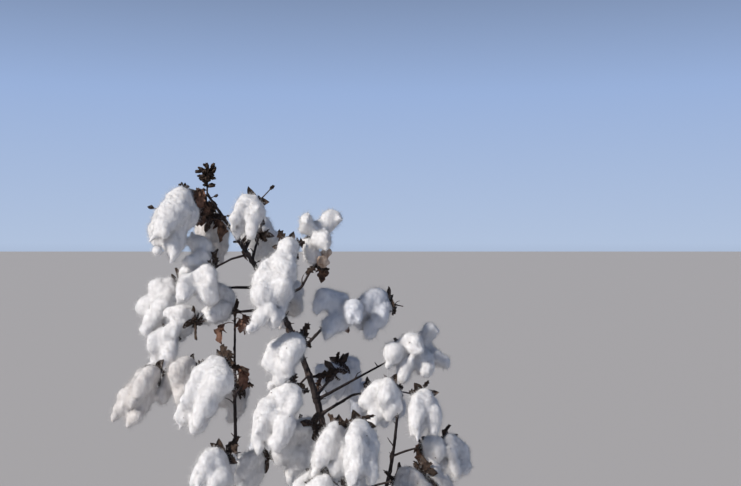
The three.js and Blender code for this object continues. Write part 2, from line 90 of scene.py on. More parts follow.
sky = bpy.data.worlds.new("plain_sky")
sky.use_nodes = True
tree = sky.node_tree
place = new_node(tree, "TexCoord", {}, {})
height = new_node(tree, "SeparateXYZ", {}, {"Vector": place.outputs["Generated"]})
half_height = new_node(tree, "Math", {1: 0.5, 2: 0.5}, {0: height.outputs["Z"]})
half_height.operation = "MULTIPLY_ADD"
sky_ramp = new_node(tree, "ValToRGB", {}, {"Fac": half_height.outputs["Value"]})
while len(sky_ramp.color_ramp.elements) < len(SKY_COLOURS):
    sky_ramp.color_ramp.elements.new(0.5)
for element, (at, colour) in zip(sky_ramp.color_ramp.elements, SKY_COLOURS.items()):
    element.position = at
    element.color = colour
tree.links.new(sky_ramp.outputs["Color"], tree.nodes["Background"].inputs["Color"])
bpy.context.scene.world = sky
bpy.context.scene.view_settings.view_transform = "Standard"

key_light = bpy.data.lights.new("key_lamp", "SUN")
key_light.energy = LAMP_STRENGTH
key_light.angle = math.radians(LAMP_SPREAD)
key_light.color = LAMP_COLOUR
placed("key_lamp", key_light).rotation_euler = Vector(LAMP_AIM).to_track_quat("-Z", "Y").to_euler()

lens = bpy.data.cameras.new("field_camera")
lens.lens = CAMERA_LENS
lens.sensor_width = FILM_WIDTH
lens.clip_end = FARTHEST_SEEN
field_camera = placed("field_camera", lens, CAMERA_PLACE)
field_camera.rotation_euler = (math.radians(90), 0, 0)
bpy.context.scene.camera = field_camera

# The main stem: a dry woody stalk, about 29 mm thick where it flares into the root and pencil-thin above. It
# grew in one piece, leans more and more to the left, ends under a tuft and is cut flat at the ground. Sizes
# are in millimetres and degrees from here on, and joined_piece turns them into metres.
PLANT_HEIGHT = 1000
STEM_TOP = 940
STEM_FOOT_RADIUS = 9.5
STEM_TIP_RADIUS = 1.5
STEM_TAPER = 0.8
FLARE_RADIUS = 5
FLARE_HEIGHT = 16
FOOT_LEAN = 0.023
STEM_LEAN = 0.667
LEAN_FROM = 0.29
LEAN_FULL = 0.93
UPRIGHT_FROM = 0.935
UPRIGHT_FULL = 0.95
STEM_BOW = 14
STEM_STEP = 4
BARK_STEP = 2.0
BARK_COLOURS = ((0.012, 0.008, 0.008, 1), (0.062, 0.047, 0.044, 1))
SCARS = 24
FIRST_SCAR = 60
SCAR_EVERY = 37
SCAR_HEIGHTS = (2.3, 1.5, 1.5)
GOLDEN_ANGLE = 137.5
UP = np.array([0.0, 0.0, 1.0])


def lerp(a, b, share):
    return a + (b - a) * share


def smoothstep(value, low, high):
    share = min(max((value - low) / (high - low), 0), 1)
    return share * share * (3 - 2 * share)


def unit(vector):
    return vector / np.linalg.norm(vector)


def aim(heading, rise):
    level = math.cos(math.radians(rise))
    return np.array([level * math.cos(math.radians(heading)), level * math.sin(math.radians(heading)),
                     math.sin(math.radians(rise))])


def point_along(points, steps):
    k = min(int(math.floor(steps)), len(points) - 2)
    return lerp(points[k], points[k + 1], steps - k)


def resampled(points, step, ease=2):
    """The same line with evenly spaced points, its corners eased over a few of them."""
    points = np.asarray(points, float)
    runs = np.concatenate([[0], np.cumsum(np.linalg.norm(np.diff(points, axis=0), axis=1))])
    count = max(int(round(runs[-1] / step)), 2)
    at = np.linspace(0, runs[-1], count + 1)
    line = np.stack([np.interp(at, runs, points[:, i]) for i in range(3)], axis=1)
    for _ in range(ease):
        line[1:-1] = (line[:-2] + 2 * line[1:-1] + line[2:]) / 4
    return line, at


def tube(line, radii, sides, relief=None, runs=None):
    """A closed round tube along a line. relief gives how far each point of it stands out or in."""
    along = np.gradient(line, axis=0)
    along /= np.linalg.norm(along, axis=1)[:, None]
    side = UP if abs(along[0][2]) < 0.8 else np.array([1.0, 0, 0])
    sideways = np.empty_like(line)
    for k, way in enumerate(along):
        side = unit(side - way * np.dot(side, way))
        sideways[k] = side
    across = np.cross(along, sideways)
    turn = np.arange(sides) * 2 * math.pi / sides
    radius = np.asarray(radii, float)[:, None] * np.ones(sides)
    if relief:
        radius = radius + relief(runs[:, None], turn, radius)
    ring = sideways[:, None] * np.cos(turn)[:, None] + across[:, None] * np.sin(turn)[:, None]
    corners = np.vstack([(line[:, None] + ring * radius[:, :, None]).reshape(-1, 3), line[:1], line[-1:]])
    last = (len(line) - 1) * sides
    k = np.arange(0, last, sides)[:, None]
    i = np.arange(sides)
    j = (i + 1) % sides
    walls = np.stack([k + i, k + j, k + sides + j, k + sides + i], axis=-1).reshape(-1, 4)
    foot = np.stack([j, i, np.full(sides, last + sides)], axis=1)
    head = np.stack([last + i, last + j, np.full(sides, last + sides + 1)], axis=1)
    return [(corners, walls), (None, foot), (None, head)]


def joined_piece(name, shapes, materials, nodes):
    """One mesh object of many shapes, each of corners, faces and perhaps the number of its material. A shape
    with None for its corners goes on with those of the shape before it."""
    corners, loops, totals, paints = [], [], [], []
    start, size = 0, 0
    for points, faces, *paint in shapes:
        if points is not None:
            start += size
            size = len(points)
            corners.append(points)
        loops.append((faces + start).ravel())
        totals.append(np.full(len(faces), faces.shape[1]))
        paints.append(np.full(len(faces), paint[0] if paint else 0))
    corners, loops, totals, paints = [np.concatenate(rows) for rows in (corners, loops, totals, paints)]
    mesh = bpy.data.meshes.new(name)
    mesh.vertices.add(len(corners))
    mesh.vertices.foreach_set("co", (corners / 1000).astype(np.float32).ravel())
    mesh.loops.add(len(loops))
    mesh.loops.foreach_set("vertex_index", loops.astype(np.int32))
    mesh.polygons.add(len(totals))
    mesh.polygons.foreach_set("loop_start", (np.cumsum(totals) - totals).astype(np.int32))
    mesh.polygons.foreach_set("material_index", paints.astype(np.int32))
    mesh.update(calc_edges=True)
    mesh.validate()
    mesh.shade_smooth()
    for material in materials:
        mesh.materials.append(material)
    piece = placed(name, mesh)
    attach(piece, "root")
    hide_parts(*nodes)
    return piece


def matt_material(name, colours, scale, grain, stretch=1, roughness=0.8, bump=0.8, more=()):
    """Two colours mixed by a noise that may be drawn out along the plant's height, with a fine relief."""
    material, shader = new_paint(name, {"Roughness": roughness, "Specular IOR Level": 0.3} | dict(more))
    tree = material.node_tree
    place = new_node(tree, "TexCoord", {}, {})
    drawn = new_node(tree, "Mapping", {"Scale": (1, 1, stretch)}, {"Vector": place.outputs["Object"]})
    way = {"Vector": drawn.outputs["Vector"]}
    patches = new_node(tree, "TexNoise", {"Scale": scale, "Detail": 6, "Roughness": 0.62}, way)
    mix = new_node(tree, "ValToRGB", {}, {"Fac": patches.outputs["Fac"]})
    for element, at, colour in zip(mix.color_ramp.elements, (0.36, 0.68), colours):
        element.position = at
        element.color = colour
    tree.links.new(mix.outputs["Color"], shader.inputs["Base Color"])
    fine = new_node(tree, "TexNoise", {"Scale": grain, "Detail": 5}, way)
    raised = new_node(tree, "Bump", {"Strength": bump, "Distance": 0.0006}, {"Height": fine.outputs["Fac"]})
    tree.links.new(raised.outputs["Normal"], shader.inputs["Normal"])
    return material


def bark_relief(seed, scars=()):
    """Ridges that wander along a stalk, and a raised scar at each place that a leaf has dropped from."""
    phases = np.random.default_rng(seed).random(6) * 2 * math.pi

    def relief(run, turn, radius):
        out = 0.085 * np.sin(5 * turn + 1.3 * np.sin(run / 31 + phases[0]) + phases[1])
        out = out + 0.07 * np.sin(9 * turn + 1.7 * np.sin(run / 17 + phases[2]) + phases[3])
        out = out + 0.06 * np.sin(run / 4.1 + 3 * turn + phases[1]) * np.sin(run / 19 + phases[0])
        out = out + 0.05 * np.sin(run / 2.3 + 2 * np.sin(2 * turn + phases[4])) * np.sin(run / 11 + phases[5])
        out = out * radius
        for at, facing, height in scars:
            round_way = np.cos(turn - facing)
            out = out + height * np.exp(-(((run - at) / 3.4) ** 2)) * np.exp(4 * (round_way - 1))
        return out

    return relief


def limb(points, step, ease, radii, sides, seed=None):
    """A tube that tapers evenly along a line, ridged like bark if it has a seed."""
    line, runs = resampled(points, step, ease)
    return tube(line, np.interp(runs, [0, runs[-1]], radii), sides, bark_relief(seed) if seed else None, runs)


stem_points = [np.zeros(3)]
for level in range(STEM_STEP, PLANT_HEIGHT + 1, STEM_STEP):
    share = level / PLANT_HEIGHT
    leant = FOOT_LEAN + STEM_LEAN * smoothstep(share, LEAN_FROM, LEAN_FULL)
    lean = leant * (1 - smoothstep(share, UPRIGHT_FROM, UPRIGHT_FULL))
    bow = STEM_BOW * math.sin(math.pi * 2 * share) * share
    stem_points.append(np.array([stem_points[-1][0] - lean * STEM_STEP, bow, level]))


def main_radius(height):
    return (lerp(STEM_TIP_RADIUS, STEM_FOOT_RADIUS, max(1 - height / PLANT_HEIGHT, 0) ** STEM_TAPER)
            + FLARE_RADIUS * math.exp(-height / FLARE_HEIGHT))


class Stem:
    """A stem's middle line, thickness and length. Branches ask it for places along itself."""

    def __init__(self, points, step, radius_at, top, rings):
        self.points, self.step, self.radius_at, self.top, self.rings = points, step, radius_at, top, rings

    def at(self, run):
        return point_along(self.points, run / self.step)

    def line(self):
        runs = [self.top * k / self.rings for k in range(self.rings + 1)]
        return [self.at(run) for run in runs], [self.radius_at(run) for run in runs]


main_stem = Stem(stem_points, STEM_STEP, main_radius, STEM_TOP, round(STEM_TOP / 36))
dry_bark = matt_material("dry_bark", BARK_COLOURS, 130, 900, stretch=0.22, roughness=0.78, bump=0.9)

line, runs = resampled([main_stem.at(run) for run in np.linspace(0, STEM_TOP, 300)], BARK_STEP)
scars = [(FIRST_SCAR + SCAR_EVERY * i, math.radians(GOLDEN_ANGLE * i), SCAR_HEIGHTS[i % 3])
         for i in range(SCARS)]
main_bark = tube(line, [main_radius(point[2]) for point in line], 26, bark_relief(1, scars), runs)
main_bark[0][0][:, 2] = np.maximum(main_bark[0][0][:, 2], 0)

# The broken stub at the stem's side, split off and splintered at its end, is one with the stem.
STUB = dict(at=832, heading=62, rise=56, length=34, radius=3.2)
stub_foot = main_stem.at(STUB["at"])
stub_ends = [stub_foot, stub_foot + aim(STUB["heading"], STUB["rise"]) * STUB["length"]]
stub_radii = [STUB["radius"], STUB["radius"]]
stub_bark = limb(stub_ends, 1.5, 2, stub_radii, 14, 2)

# The dead branch tip beside the tuft is a thin forked twig of the same piece, which leans out to the left.
PRONG = [(0, 0, 0), (-15, -26, 8), (-31, -54, 12), (-38, -64, 19)]
PRONG_FROM = 934
PRONG_STEP = 1.6
PRONG_RADII = (1.8, 1.1)
prong = main_stem.at(PRONG_FROM) + np.array(PRONG, float)
prong_bark = limb(prong, PRONG_STEP, 2, PRONG_RADII, 9, 8)
joined_piece("main_stem_bark", main_bark + stub_bark + prong_bark, [dry_bark], ["main_stem"])

# Two side stems: thinner stalks of the same dry wood, which leave the main stem low down and turn up. They
# were branches that the plant let grow as tall as itself, and each carries its own fruiting branches.
SIDE_STEMS = [
    dict(name="left", at=118, heading=195, rise=34, upturn=56, turned_by=0.7, reach=660, radius=5.6),
    dict(name="right", at=168, heading=44, rise=40, upturn=40, turned_by=0.75, reach=500, radius=5.2),
]
SIDE_TIP_RADIUS = 1.8
SIDE_STEPS = 16
SIDE_SWAY = 1.6

stems = {"main": main_stem}
side_bark = []
for number, row in enumerate(SIDE_STEMS):
    step = row["reach"] / SIDE_STEPS
    points = [main_stem.at(row["at"])]
    for k in range(1, SIDE_STEPS + 1):
        rise = row["rise"] + row["upturn"] * smoothstep(k / SIDE_STEPS, 0, row["turned_by"])
        points.append(points[-1] + aim(row["heading"], rise) * step)
    side = Stem(points, step, lambda run, row=row: lerp(row["radius"], SIDE_TIP_RADIUS, run / row["reach"]),
                row["reach"], SIDE_STEPS)
    stems[row["name"]] = side
    line, runs = resampled(points, 2.5, ease=6)
    sway = SIDE_SWAY * np.sin(runs / 52 + 2 * number) * np.sin(math.pi * runs / runs[-1])
    line = line + np.stack([sway, 0.6 * sway[::-1], np.zeros(len(line))], axis=1)
    scars = [(40 + 33 * i, math.radians(180 * (i % 2) + 40 * i), 1.3) for i in range(int(row["reach"] / 36))]
    radii = [side.radius_at(min(run, row["reach"])) for run in runs]
    side_bark += tube(line, radii, 18, bark_relief(20 + number, scars), runs)
joined_piece("side_stem_bark", side_bark, [dry_bark], ["side_stem_left", "side_stem_right"])

# The fruiting branches: thin zigzag limbs of dark dry wood, with one joint to each boll. Each grew from a
# leaf's foot on a stem. The longer ones start with a bare bough, and all end in a bare twig.
COLUMNS = "name stem at heading rise first bolls next sag face hang size leaves tip".split()
BRANCHES = [
    ["top_left", "main", 920, 196, 0, 47, 1, 0, -4, 196, 0.9, 1.35, 1, 28],
    ["top_whip", "main", 893, 182, -8, 26, 1, 0, 0, 300, 1.1, 1.0, 1, 104],
    ["upper_left", "main", 824, 203, -14, 60, 2, 40, 24, 215, 0.35, 0.88, 0, 12],
    ["top_right", "main", 852, 7, 76, 74, 1, 0, 50, 225, 1.0, 0.95, 0, 40],
    ["upper_back", "main", 812, 88, 30, 92, 1, 0, 0, 90, 0.6, 1.0, 1, 24],
    ["upper_right", "main", 792, 330, 32, 76, 1, 0, 6, 275, 1.9, 1.3, 0, 10],
    ["high_left", "main", 762, 164, -1, 170, 1, 0, 8, 200, 0.9, 1.15, 0, 14],
    ["high_right", "main", 738, 15, 24, 103, 2, 54, -70, 304, 0.0, 0.9, 1, 12],
    ["middle_left", "main", 717, 180, 3, 86, 3, 62, 18, 205, 0.3, 0.88, 1, 14],
    ["middle_back", "main", 692, 104, 22, 120, 2, 56, 12, 80, 0.5, 1.0, 0, 24],
    ["middle_front", "main", 668, 288, 0, 60, 1, 0, 4, 240, 1.1, 1.0, 0, 8],
    ["middle_right", "main", 640, 8, 46, 120, 2, 84, 38, 240, 0.5, 1.05, 1, 18],
    ["mid_front", "main", 596, 254, -12, 78, 1, 0, 4, 255, 1.5, 1.15, 0, 8],
    ["mid_right", "main", 548, 15, 26, 186, 1, 0, 0, 290, 0.5, 1.08, 0, 14],
    ["mid_back", "main", 554, 71, 18, 96, 2, 60, 10, 100, 0.8, 1.0, 1, 20],
    ["lower_right", "main", 520, 343, 32, 148, 2, 54, 44, 250, 0.8, 1.0, 0, 12],
    ["low_front", "main", 488, 268, 14, 96, 1, 0, 6, 245, 1.1, 1.1, 0, 12],
    ["low_right", "main", 470, 286, 16, 138, 2, 54, -6, 250, 1.1, 1.05, 1, 14],
    ["low_left", "main", 416, 204, 16, 108, 1, 0, 6, 225, 0.9, 1.05, 0, 14],
    ["low_back", "main", 420, 122, 24, 122, 2, 56, 10, 140, 0.7, 1.0, 0, 20],
    ["foot_front", "main", 388, 262, 20, 112, 2, 54, 10, 280, 0.8, 1.0, 0, 16],
    ["foot_right", "main", 356, 336, 24, 128, 2, 54, 10, 330, 0.7, 1.0, 1, 20],
    ["foot_back", "main", 304, 80, 28, 118, 1, 0, 10, 80, 0.7, 1.0, 0, 24],
    ["side_crest", "left", 566, 262, 8, 30, 1, 0, 0, 235, 1.5, 1.25, 2, 10],
    ["side_inner", "left", 515, 80, 16, 30, 1, 0, 6, 110, 1.0, 0.9, 0, 14],
    ["side_outer", "left", 548, 174, 12, 76, 2, 60, 14, 205, 0.9, 1.05, 1, 14],
    ["side_front", "left", 400, 262, 20, 52, 2, 50, 10, 250, 0.8, 1.0, 0, 14],
    ["far_outer", "right", 300, 4, 20, 54, 2, 52, 10, 350, 0.7, 1.0, 1, 18],
    ["far_back", "right", 380, 110, 24, 52, 2, 50, 10, 90, 0.7, 1.0, 0, 20],
    ["far_crest", "right", 486, 330, 40, 36, 1, 0, 6, 300, 0.4, 1.0, 0, 26],
]
BOUGH_RADIUS = 3.1
SHORT_BRANCH_RADIUS = 2.4
TWIG_TIP_RADIUS = 1
ZIGZAG = 17
NEXT_RANGE = (0.9, 1.1)
TIP_LIFT = 20
SPRAY_LEAD = 32
SHORTEST_BOUGH = 80
JOINT_GAP = 0.3
BOLL_TURN = 38
HANG_STEP = 0.3
LINE_SEED = 7000
BALL_SPACING = 7
CLEARANCE = 1.2
BOUGH_SWELL = 1.6
BOUGH_SWELL_REACH = 5
BOUGH_SCARS = (0.45, 0.8)
BOUGH_SCAR_HEIGHT = 0.9
COLLAR_REACH = 10
COLLAR_WIDTH = 4.2
COLLAR_SWELL = 1.9
COLLAR_SUNK = 0.35


def seeded(seed):
    """The same stream of numbers from 0 to 1 for the same seed, in 32-bit whole-number steps."""
    state = seed

    def draw():
        nonlocal state
        state = (state + 0x6D2B79F5) & 0xFFFFFFFF
        t = ((state ^ (state >> 15)) * (state | 1)) & 0xFFFFFFFF
        t = (t ^ (t + (((t ^ (t >> 7)) * (t | 61)) & 0xFFFFFFFF))) & 0xFFFFFFFF
        return (t ^ (t >> 14)) / 4294967296

    return draw


def within(limits, draw):
    return lerp(*limits, draw())


def branch_line(row, stem, index):
    draw = seeded(LINE_SEED + index)
    half = (row["first"] + stem.radius_at(row["at"])) / 2
    points = [stem.at(row["at"])]
    points.append(points[-1] + aim(row["heading"], row["rise"]) * half)
    points.append(points[-1] + aim(row["heading"], row["rise"] - row["sag"] / 2) * half)
    joints = []
    for k in range(row["bolls"]):
        side = -1 if k % 2 else 1
        heading = row["heading"] + side * ZIGZAG
        rise = row["rise"] - row["sag"] * (k + 1)
        joints.append(dict(at=points[-1], face=row["face"] + (side * BOLL_TURN if k else 0),
                           hang=row["hang"] + HANG_STEP * k))
        if k < row["bolls"] - 1:
            points.append(points[-1] + aim(heading, rise) * row["next"] * within(NEXT_RANGE, draw))
        else:
            points.append(points[-1] + aim(heading, rise + TIP_LIFT) * row["tip"])
    return points, joints


def length_of(points):
    return sum(float(np.linalg.norm(b - a)) for a, b in zip(points, points[1:]))


def tapered(points, start, end):
    whole = length_of(points)
    return [lerp(start, end, length_of(points[: k + 1]) / whole) for k in range(len(points))]


def split_line(points, length, gap):
    left, k = length, 0
    while left > np.linalg.norm(points[k + 1] - points[k]):
        left -= np.linalg.norm(points[k + 1] - points[k])
        k += 1
    along = unit(points[k + 1] - points[k])
    cut = points[k] + along * left
    return points[: k + 1] + [cut], [cut + along * gap] + points[k + 1:]


def balls_along(points, radii):
    """Balls along a line that stand for the room it takes: one row each of x, y, z and radius."""
    balls = []
    for k, (a, b) in enumerate(zip(points, points[1:])):
        steps = math.ceil(float(np.linalg.norm(b - a)) / BALL_SPACING)
        for s in range(steps + 1):
            balls.append([*lerp(a, b, s / steps), lerp(radii[k], radii[k + 1], s / steps)])
    return balls


taken = []


def take(owner, balls, grown=False):
    taken.append((owner, grown, np.array(balls)))


def clears(balls, others):
    mine = np.array(balls)
    for other in others:
        apart = np.linalg.norm(mine[:, None, :3] - other[None, :, :3], axis=2)
        if (apart <= mine[:, None, 3] + other[None, :, 3] + CLEARANCE).any():
            return False
    return True


def fitting(plans, owner):
    others = [balls for name, _, balls in taken if name != owner]
    own = [balls for name, grown, balls in taken if name == owner and grown]
    free = [plan for plan in plans if clears(plan["balls"], others)]
    return next((plan for plan in free if clears(plan["balls"], own)), free[0] if free else None)


for name, stem in stems.items():
    take(name, balls_along(*stem.line()))
take("stub", balls_along(stub_ends, stub_radii))


def collar(stem, run, seed):
    """The swollen joint of a stem that a branch grew from, sunk into the stem at both ends."""
    over = np.linspace(-COLLAR_REACH, COLLAR_REACH, 15)
    line = np.array([stem.at(run + step) for step in over])
    swell = COLLAR_SWELL * np.exp(-((over / COLLAR_WIDTH) ** 2))
    thick = [stem.radius_at(run + step) for step in over] + swell - COLLAR_SUNK
    return tube(line, thick, 18, bark_relief(seed), over)


sprays = []
bough_bark, bough_nodes = [], []
for index, values in enumerate(BRANCHES):
    row = dict(zip(COLUMNS, values))
    stem = stems[row["stem"]]
    points, joints = branch_line(row, stem, index)
    row.update(index=index, joints=joints, node="spray_" + row["name"])
    if row["first"] < SHORTEST_BOUGH:
        row.update(line=points, radii=tapered(points, SHORT_BRANCH_RADIUS, TWIG_TIP_RADIUS))
    else:
        bough = "bough_" + row["name"]
        cut_at = row["first"] + stem.radius_at(row["at"]) - SPRAY_LEAD
        joint = lerp(BOUGH_RADIUS, TWIG_TIP_RADIUS, cut_at / length_of(points))
        inner, outer = split_line(points, cut_at, JOINT_GAP)
        radii = tapered(inner, BOUGH_RADIUS, joint)
        take(bough, balls_along(inner, radii))
        line, runs = resampled(inner, 2.2, ease=4)
        thick = np.interp(runs, [0, runs[-1]], [BOUGH_RADIUS, joint])
        thick += BOUGH_SWELL * np.exp(-((runs - stem.radius_at(row["at"])) / BOUGH_SWELL_REACH) ** 2)
        scars = [(runs[-1] * share, index + 2 * share, BOUGH_SCAR_HEIGHT) for share in BOUGH_SCARS]
        bough_bark += tube(line, thick, 14, bark_relief(40 + index, scars), runs)
        bough_bark += collar(stem, row["at"], 140 + index)
        bough_nodes.append(bough)
        row.update(bough_line=inner, bough_radii=radii)
        row.update(line=outer, radii=tapered(outer, joint, TWIG_TIP_RADIUS))
    take(row["node"], balls_along(row["line"], row["radii"]))
    sprays.append(row)
joined_piece("bough_bark", bough_bark, [dry_bark], bough_nodes)

# The plan of every boll and clinging leaf, in the order that they are set on their twigs. A boll is turned
# round its joint, as a picker would push it aside, until it is clear of what grew before it.
STALK_LENGTH = 13
STALK_RADIUS = 1.8
STALK_RISE = 24
FOUR_LOCKS = 0.25
BOLL_SIZES = (0.94, 1.06)
AXIS_RISE = 52
AXIS_FALL = 60
HANG_RANGE = (-0.1, 0.1)
CARPEL_LENGTH = 27
CARPEL_OPEN = 74
CARPEL_SHIFT = (-0.15, 0.15)
BURR_DEPTH = 4.5
LOCK_ROOT = 8
LOCK_LENGTH = 42
LOCK_LENGTHS = (0.84, 1.16)
LOCK_RADIUS = 16.5
LOCK_RADII = (0.9, 1.1)
LOCK_PLUMP = 0.14
LOCK_STRETCH = 0.85
LOCK_SPREAD = 42
LOCK_RINGS = (0, 0.3, 0.75, 1)
LOCK_BLUNT = 2.4
LOCK_NECK = 0.62
LOCK_LUMP = 0.1
DROOP_RATE = 1.3
WIND = (-0.35, 0.05)
WIND_ACROSS = (-0.1, 0.1)
FALL_OUT = 0.4
TURNS_TRIED = (0, 35, -35, 70, -70, 105, -105, 145)
BOLL_SEED = 1000
LEAF_LENGTH = 44
LEAF_LENGTHS = (0.8, 1.2)
LEAF_WIDTH = 24
LEAF_SWING = (-0.1, 0.3)
LEAF_ROOM = 0.4
LEAF_TURN = 90
SIDE_LOBE = 0.72
SIDE_LOBE_LEAN = 0.62
PETIOLE_LENGTH = 24
PETIOLE_RADIUS = 1
PETIOLE_RISE = (20, -10)
LEAF_SEED = 4000


def leaning(axis, spoke, degrees):
    return axis * math.cos(math.radians(degrees)) + spoke * math.sin(math.radians(degrees))


def lock_thickness(share, radius, phase):
    blunt = (1 - abs(2 * share - 1) ** LOCK_BLUNT) ** (1 / LOCK_BLUNT)
    lump = 1 + LOCK_LUMP * math.sin(phase + 2 * math.pi * share)
    return radius * blunt * min(1, LOCK_NECK + share) * lump


def lock_plan(centre, axis, spoke, size, hang, fall, draw):
    length = LOCK_LENGTH * size * within(LOCK_LENGTHS, draw) * (1 + LOCK_STRETCH * max(hang, 0))
    plump = 1 + LOCK_PLUMP * min(max(1 - hang, 0), 1)
    radius = LOCK_RADIUS * size * within(LOCK_RADII, draw) * plump
    phase = draw() * 2 * math.pi
    out = leaning(axis, spoke, LOCK_SPREAD)
    points = [centre + leaning(axis, spoke, CARPEL_OPEN) * LOCK_ROOT]
    for before, ring in zip(LOCK_RINGS, LOCK_RINGS[1:]):
        droop = min(max(hang * DROOP_RATE * ring, 0), 1)
        points.append(points[-1] + unit(out * (1 - droop) + fall * droop) * length * (ring - before))
    radii = [lock_thickness(ring, radius, phase) for ring in LOCK_RINGS]
    return dict(points=points, radii=radii, radius=radius, phase=phase)


def boll_plan(joint, row, turn, seed):
    draw = seeded(seed)
    count = 4 if draw() < FOUR_LOCKS else 3
    size = row["size"] * within(BOLL_SIZES, draw)
    hang = joint["hang"] + within(HANG_RANGE, draw)
    wind = np.array([within(WIND, draw), within(WIND_ACROSS, draw), -1.0])
    heading = joint["face"] + turn
    fall = unit(wind + aim(heading, 0) * FALL_OUT)
    centre = joint["at"] + aim(heading, STALK_RISE) * STALK_LENGTH * size
    axis = aim(heading, AXIS_RISE - AXIS_FALL * min(hang, 1))
    first = unit(np.cross(axis, UP))
    second = np.cross(axis, first)
    spin = draw() * 2 * math.pi
    spokes = []
    for i in range(count):
        angle = spin + i * 2 * math.pi / count + within(CARPEL_SHIFT, draw)
        spokes.append(first * math.cos(angle) + second * math.sin(angle))
    locks = [lock_plan(centre, axis, spoke, size, hang, fall, draw) for spoke in spokes]
    balls = []
    for spoke in spokes:
        tip = centre + leaning(axis, spoke, CARPEL_OPEN) * CARPEL_LENGTH
        balls += balls_along([centre, tip], [BURR_DEPTH, 1])
    for lock in locks:
        balls += balls_along(lock["points"], lock["radii"])
    return dict(start=joint["at"], centre=centre, axis=axis, spokes=spokes, size=size, locks=locks,
                fall=fall, seed=seed, balls=balls)


def leaf_plan(start, heading, draw):
    length = LEAF_LENGTH * within(LEAF_LENGTHS, draw)
    petiole = aim(heading, within(PETIOLE_RISE, draw))
    elbow = start + petiole * PETIOLE_LENGTH
    down = unit(aim(heading, 0) * within(LEAF_SWING, draw) - UP)
    across = unit(np.cross(down, aim(heading, 0)))
    side = -SIDE_LOBE_LEAN if draw() < 0.5 else SIDE_LOBE_LEAN
    lobes = []
    for lean in (0, side):
        share = SIDE_LOBE if lean else 1
        lobes.append((elbow + unit(down + across * lean) * length * share, LEAF_WIDTH * share))
    balls = balls_along([start, elbow], [0, PETIOLE_RADIUS])[1:]
    for tip, width in lobes:
        balls += balls_along([elbow, tip], [width * LEAF_ROOM, 1])
    return dict(start=start, elbow=elbow, down=down, across=across, side=side, length=length, balls=balls)


def settle(row, kind, plans):
    """Sets the first plan that fits, if one does, on its twig."""
    plan = fitting(plans, row["node"])
    if plan:
        take(row["node"], plan["balls"], True)
        row[kind].append(plan)


for row in sprays:
    row["bolls_set"], row["leaves_set"] = [], []
    for k, joint in enumerate(row["joints"]):
        seed = BOLL_SEED + 10 * row["index"] + k
        settle(row, "bolls_set", [boll_plan(joint, row, turn, seed) for turn in TURNS_TRIED])
    draw = seeded(LEAF_SEED + row["index"])
    for i in range(row["leaves"]):
        joint = row["joints"][i % len(row["joints"])]
        facing = joint["face"] + LEAF_TURN
        settle(row, "leaves_set", [leaf_plan(joint["at"], facing + turn, draw) for turn in TURNS_TRIED])
spray_nodes = [row["node"] for row in sprays]

# The twigs that the bolls sit on: thin, kinked, grey-brown, with a swollen joint at each boll and the dry
# stumps of leaf stalks. They go on from the boughs. Each boll has a short stalk that flares into its burr.
TWIG_COLOURS = ((0.030, 0.020, 0.018, 1), (0.14, 0.105, 0.09, 1))
JOINT_SWELL = 0.9
JOINT_REACH = 4
STALK_FLARE = 0.9
LEAF_STUMPS = 2
LEAF_STUMP_LENGTHS = (5, 15)
TWIG_SEED = 300

twig_paint = matt_material("twig_bark", TWIG_COLOURS, scale=210, grain=1300, stretch=0.5, bump=0.7)


def bent(foot, way, length, pull):
    """The line of a short stalk that bends beyond its middle."""
    bend = foot + way * length * 0.6
    return [foot, bend, bend + unit(way + pull) * length * 0.4]


twig_shapes = []
for row in sprays:
    rng = np.random.default_rng(TWIG_SEED + row["index"])
    line, runs = resampled(row["line"], 1.8)
    thick = np.interp(runs, [0, runs[-1]], [row["radii"][0], row["radii"][-1]])
    for joint in row["joints"]:
        near = np.linalg.norm(line - joint["at"], axis=1)
        thick += JOINT_SWELL * np.exp(-((near / JOINT_REACH) ** 2))
    twig_shapes += tube(line, thick, 10, bark_relief(80 + row["index"]), runs)
    if row["first"] < SHORTEST_BOUGH:
        twig_shapes += collar(stems[row["stem"]], row["at"], 140 + row["index"])
    for boll in row["bolls_set"]:
        middle = lerp(boll["start"], boll["centre"], 0.5) - UP * 0.8
        line, runs = resampled([boll["start"], middle, boll["centre"] - boll["axis"] * 1.5], 1.3, ease=3)
        flare = STALK_RADIUS * (0.85 + STALK_FLARE * (runs / runs[-1]) ** 3)
        twig_shapes += tube(line, flare, 10, bark_relief(boll["seed"]), runs)
    others = [balls for name, _, balls in taken if name != row["node"]]
    for joint in np.repeat(row["joints"], LEAF_STUMPS):
        way = aim(rng.random() * 360, 10 + 50 * rng.random())
        stump = bent(joint["at"], way, lerp(*LEAF_STUMP_LENGTHS, rng.random()), -0.5 * UP)
        if clears(balls_along([joint["at"] + way * 3, stump[-1]], [0.8, 0.5]), others):
            twig_shapes += limb(stump, 1.6, 2, [1.0, 0.5], 6)
joined_piece("twigs_and_stalks", twig_shapes, [twig_paint], spray_nodes)

# The stumps: short broken stalks of leaves and of side twigs that never bore, left all along the stems and
# boughs. They are the same grey-brown dry wood, thin and bent.
STUMP_EVERY = 23
STUMP_REACH = (5, 26)
STUMP_RADII = (1.5, 0.6)
LOWEST_STUMP = 120
STUMP_SEED = 7100

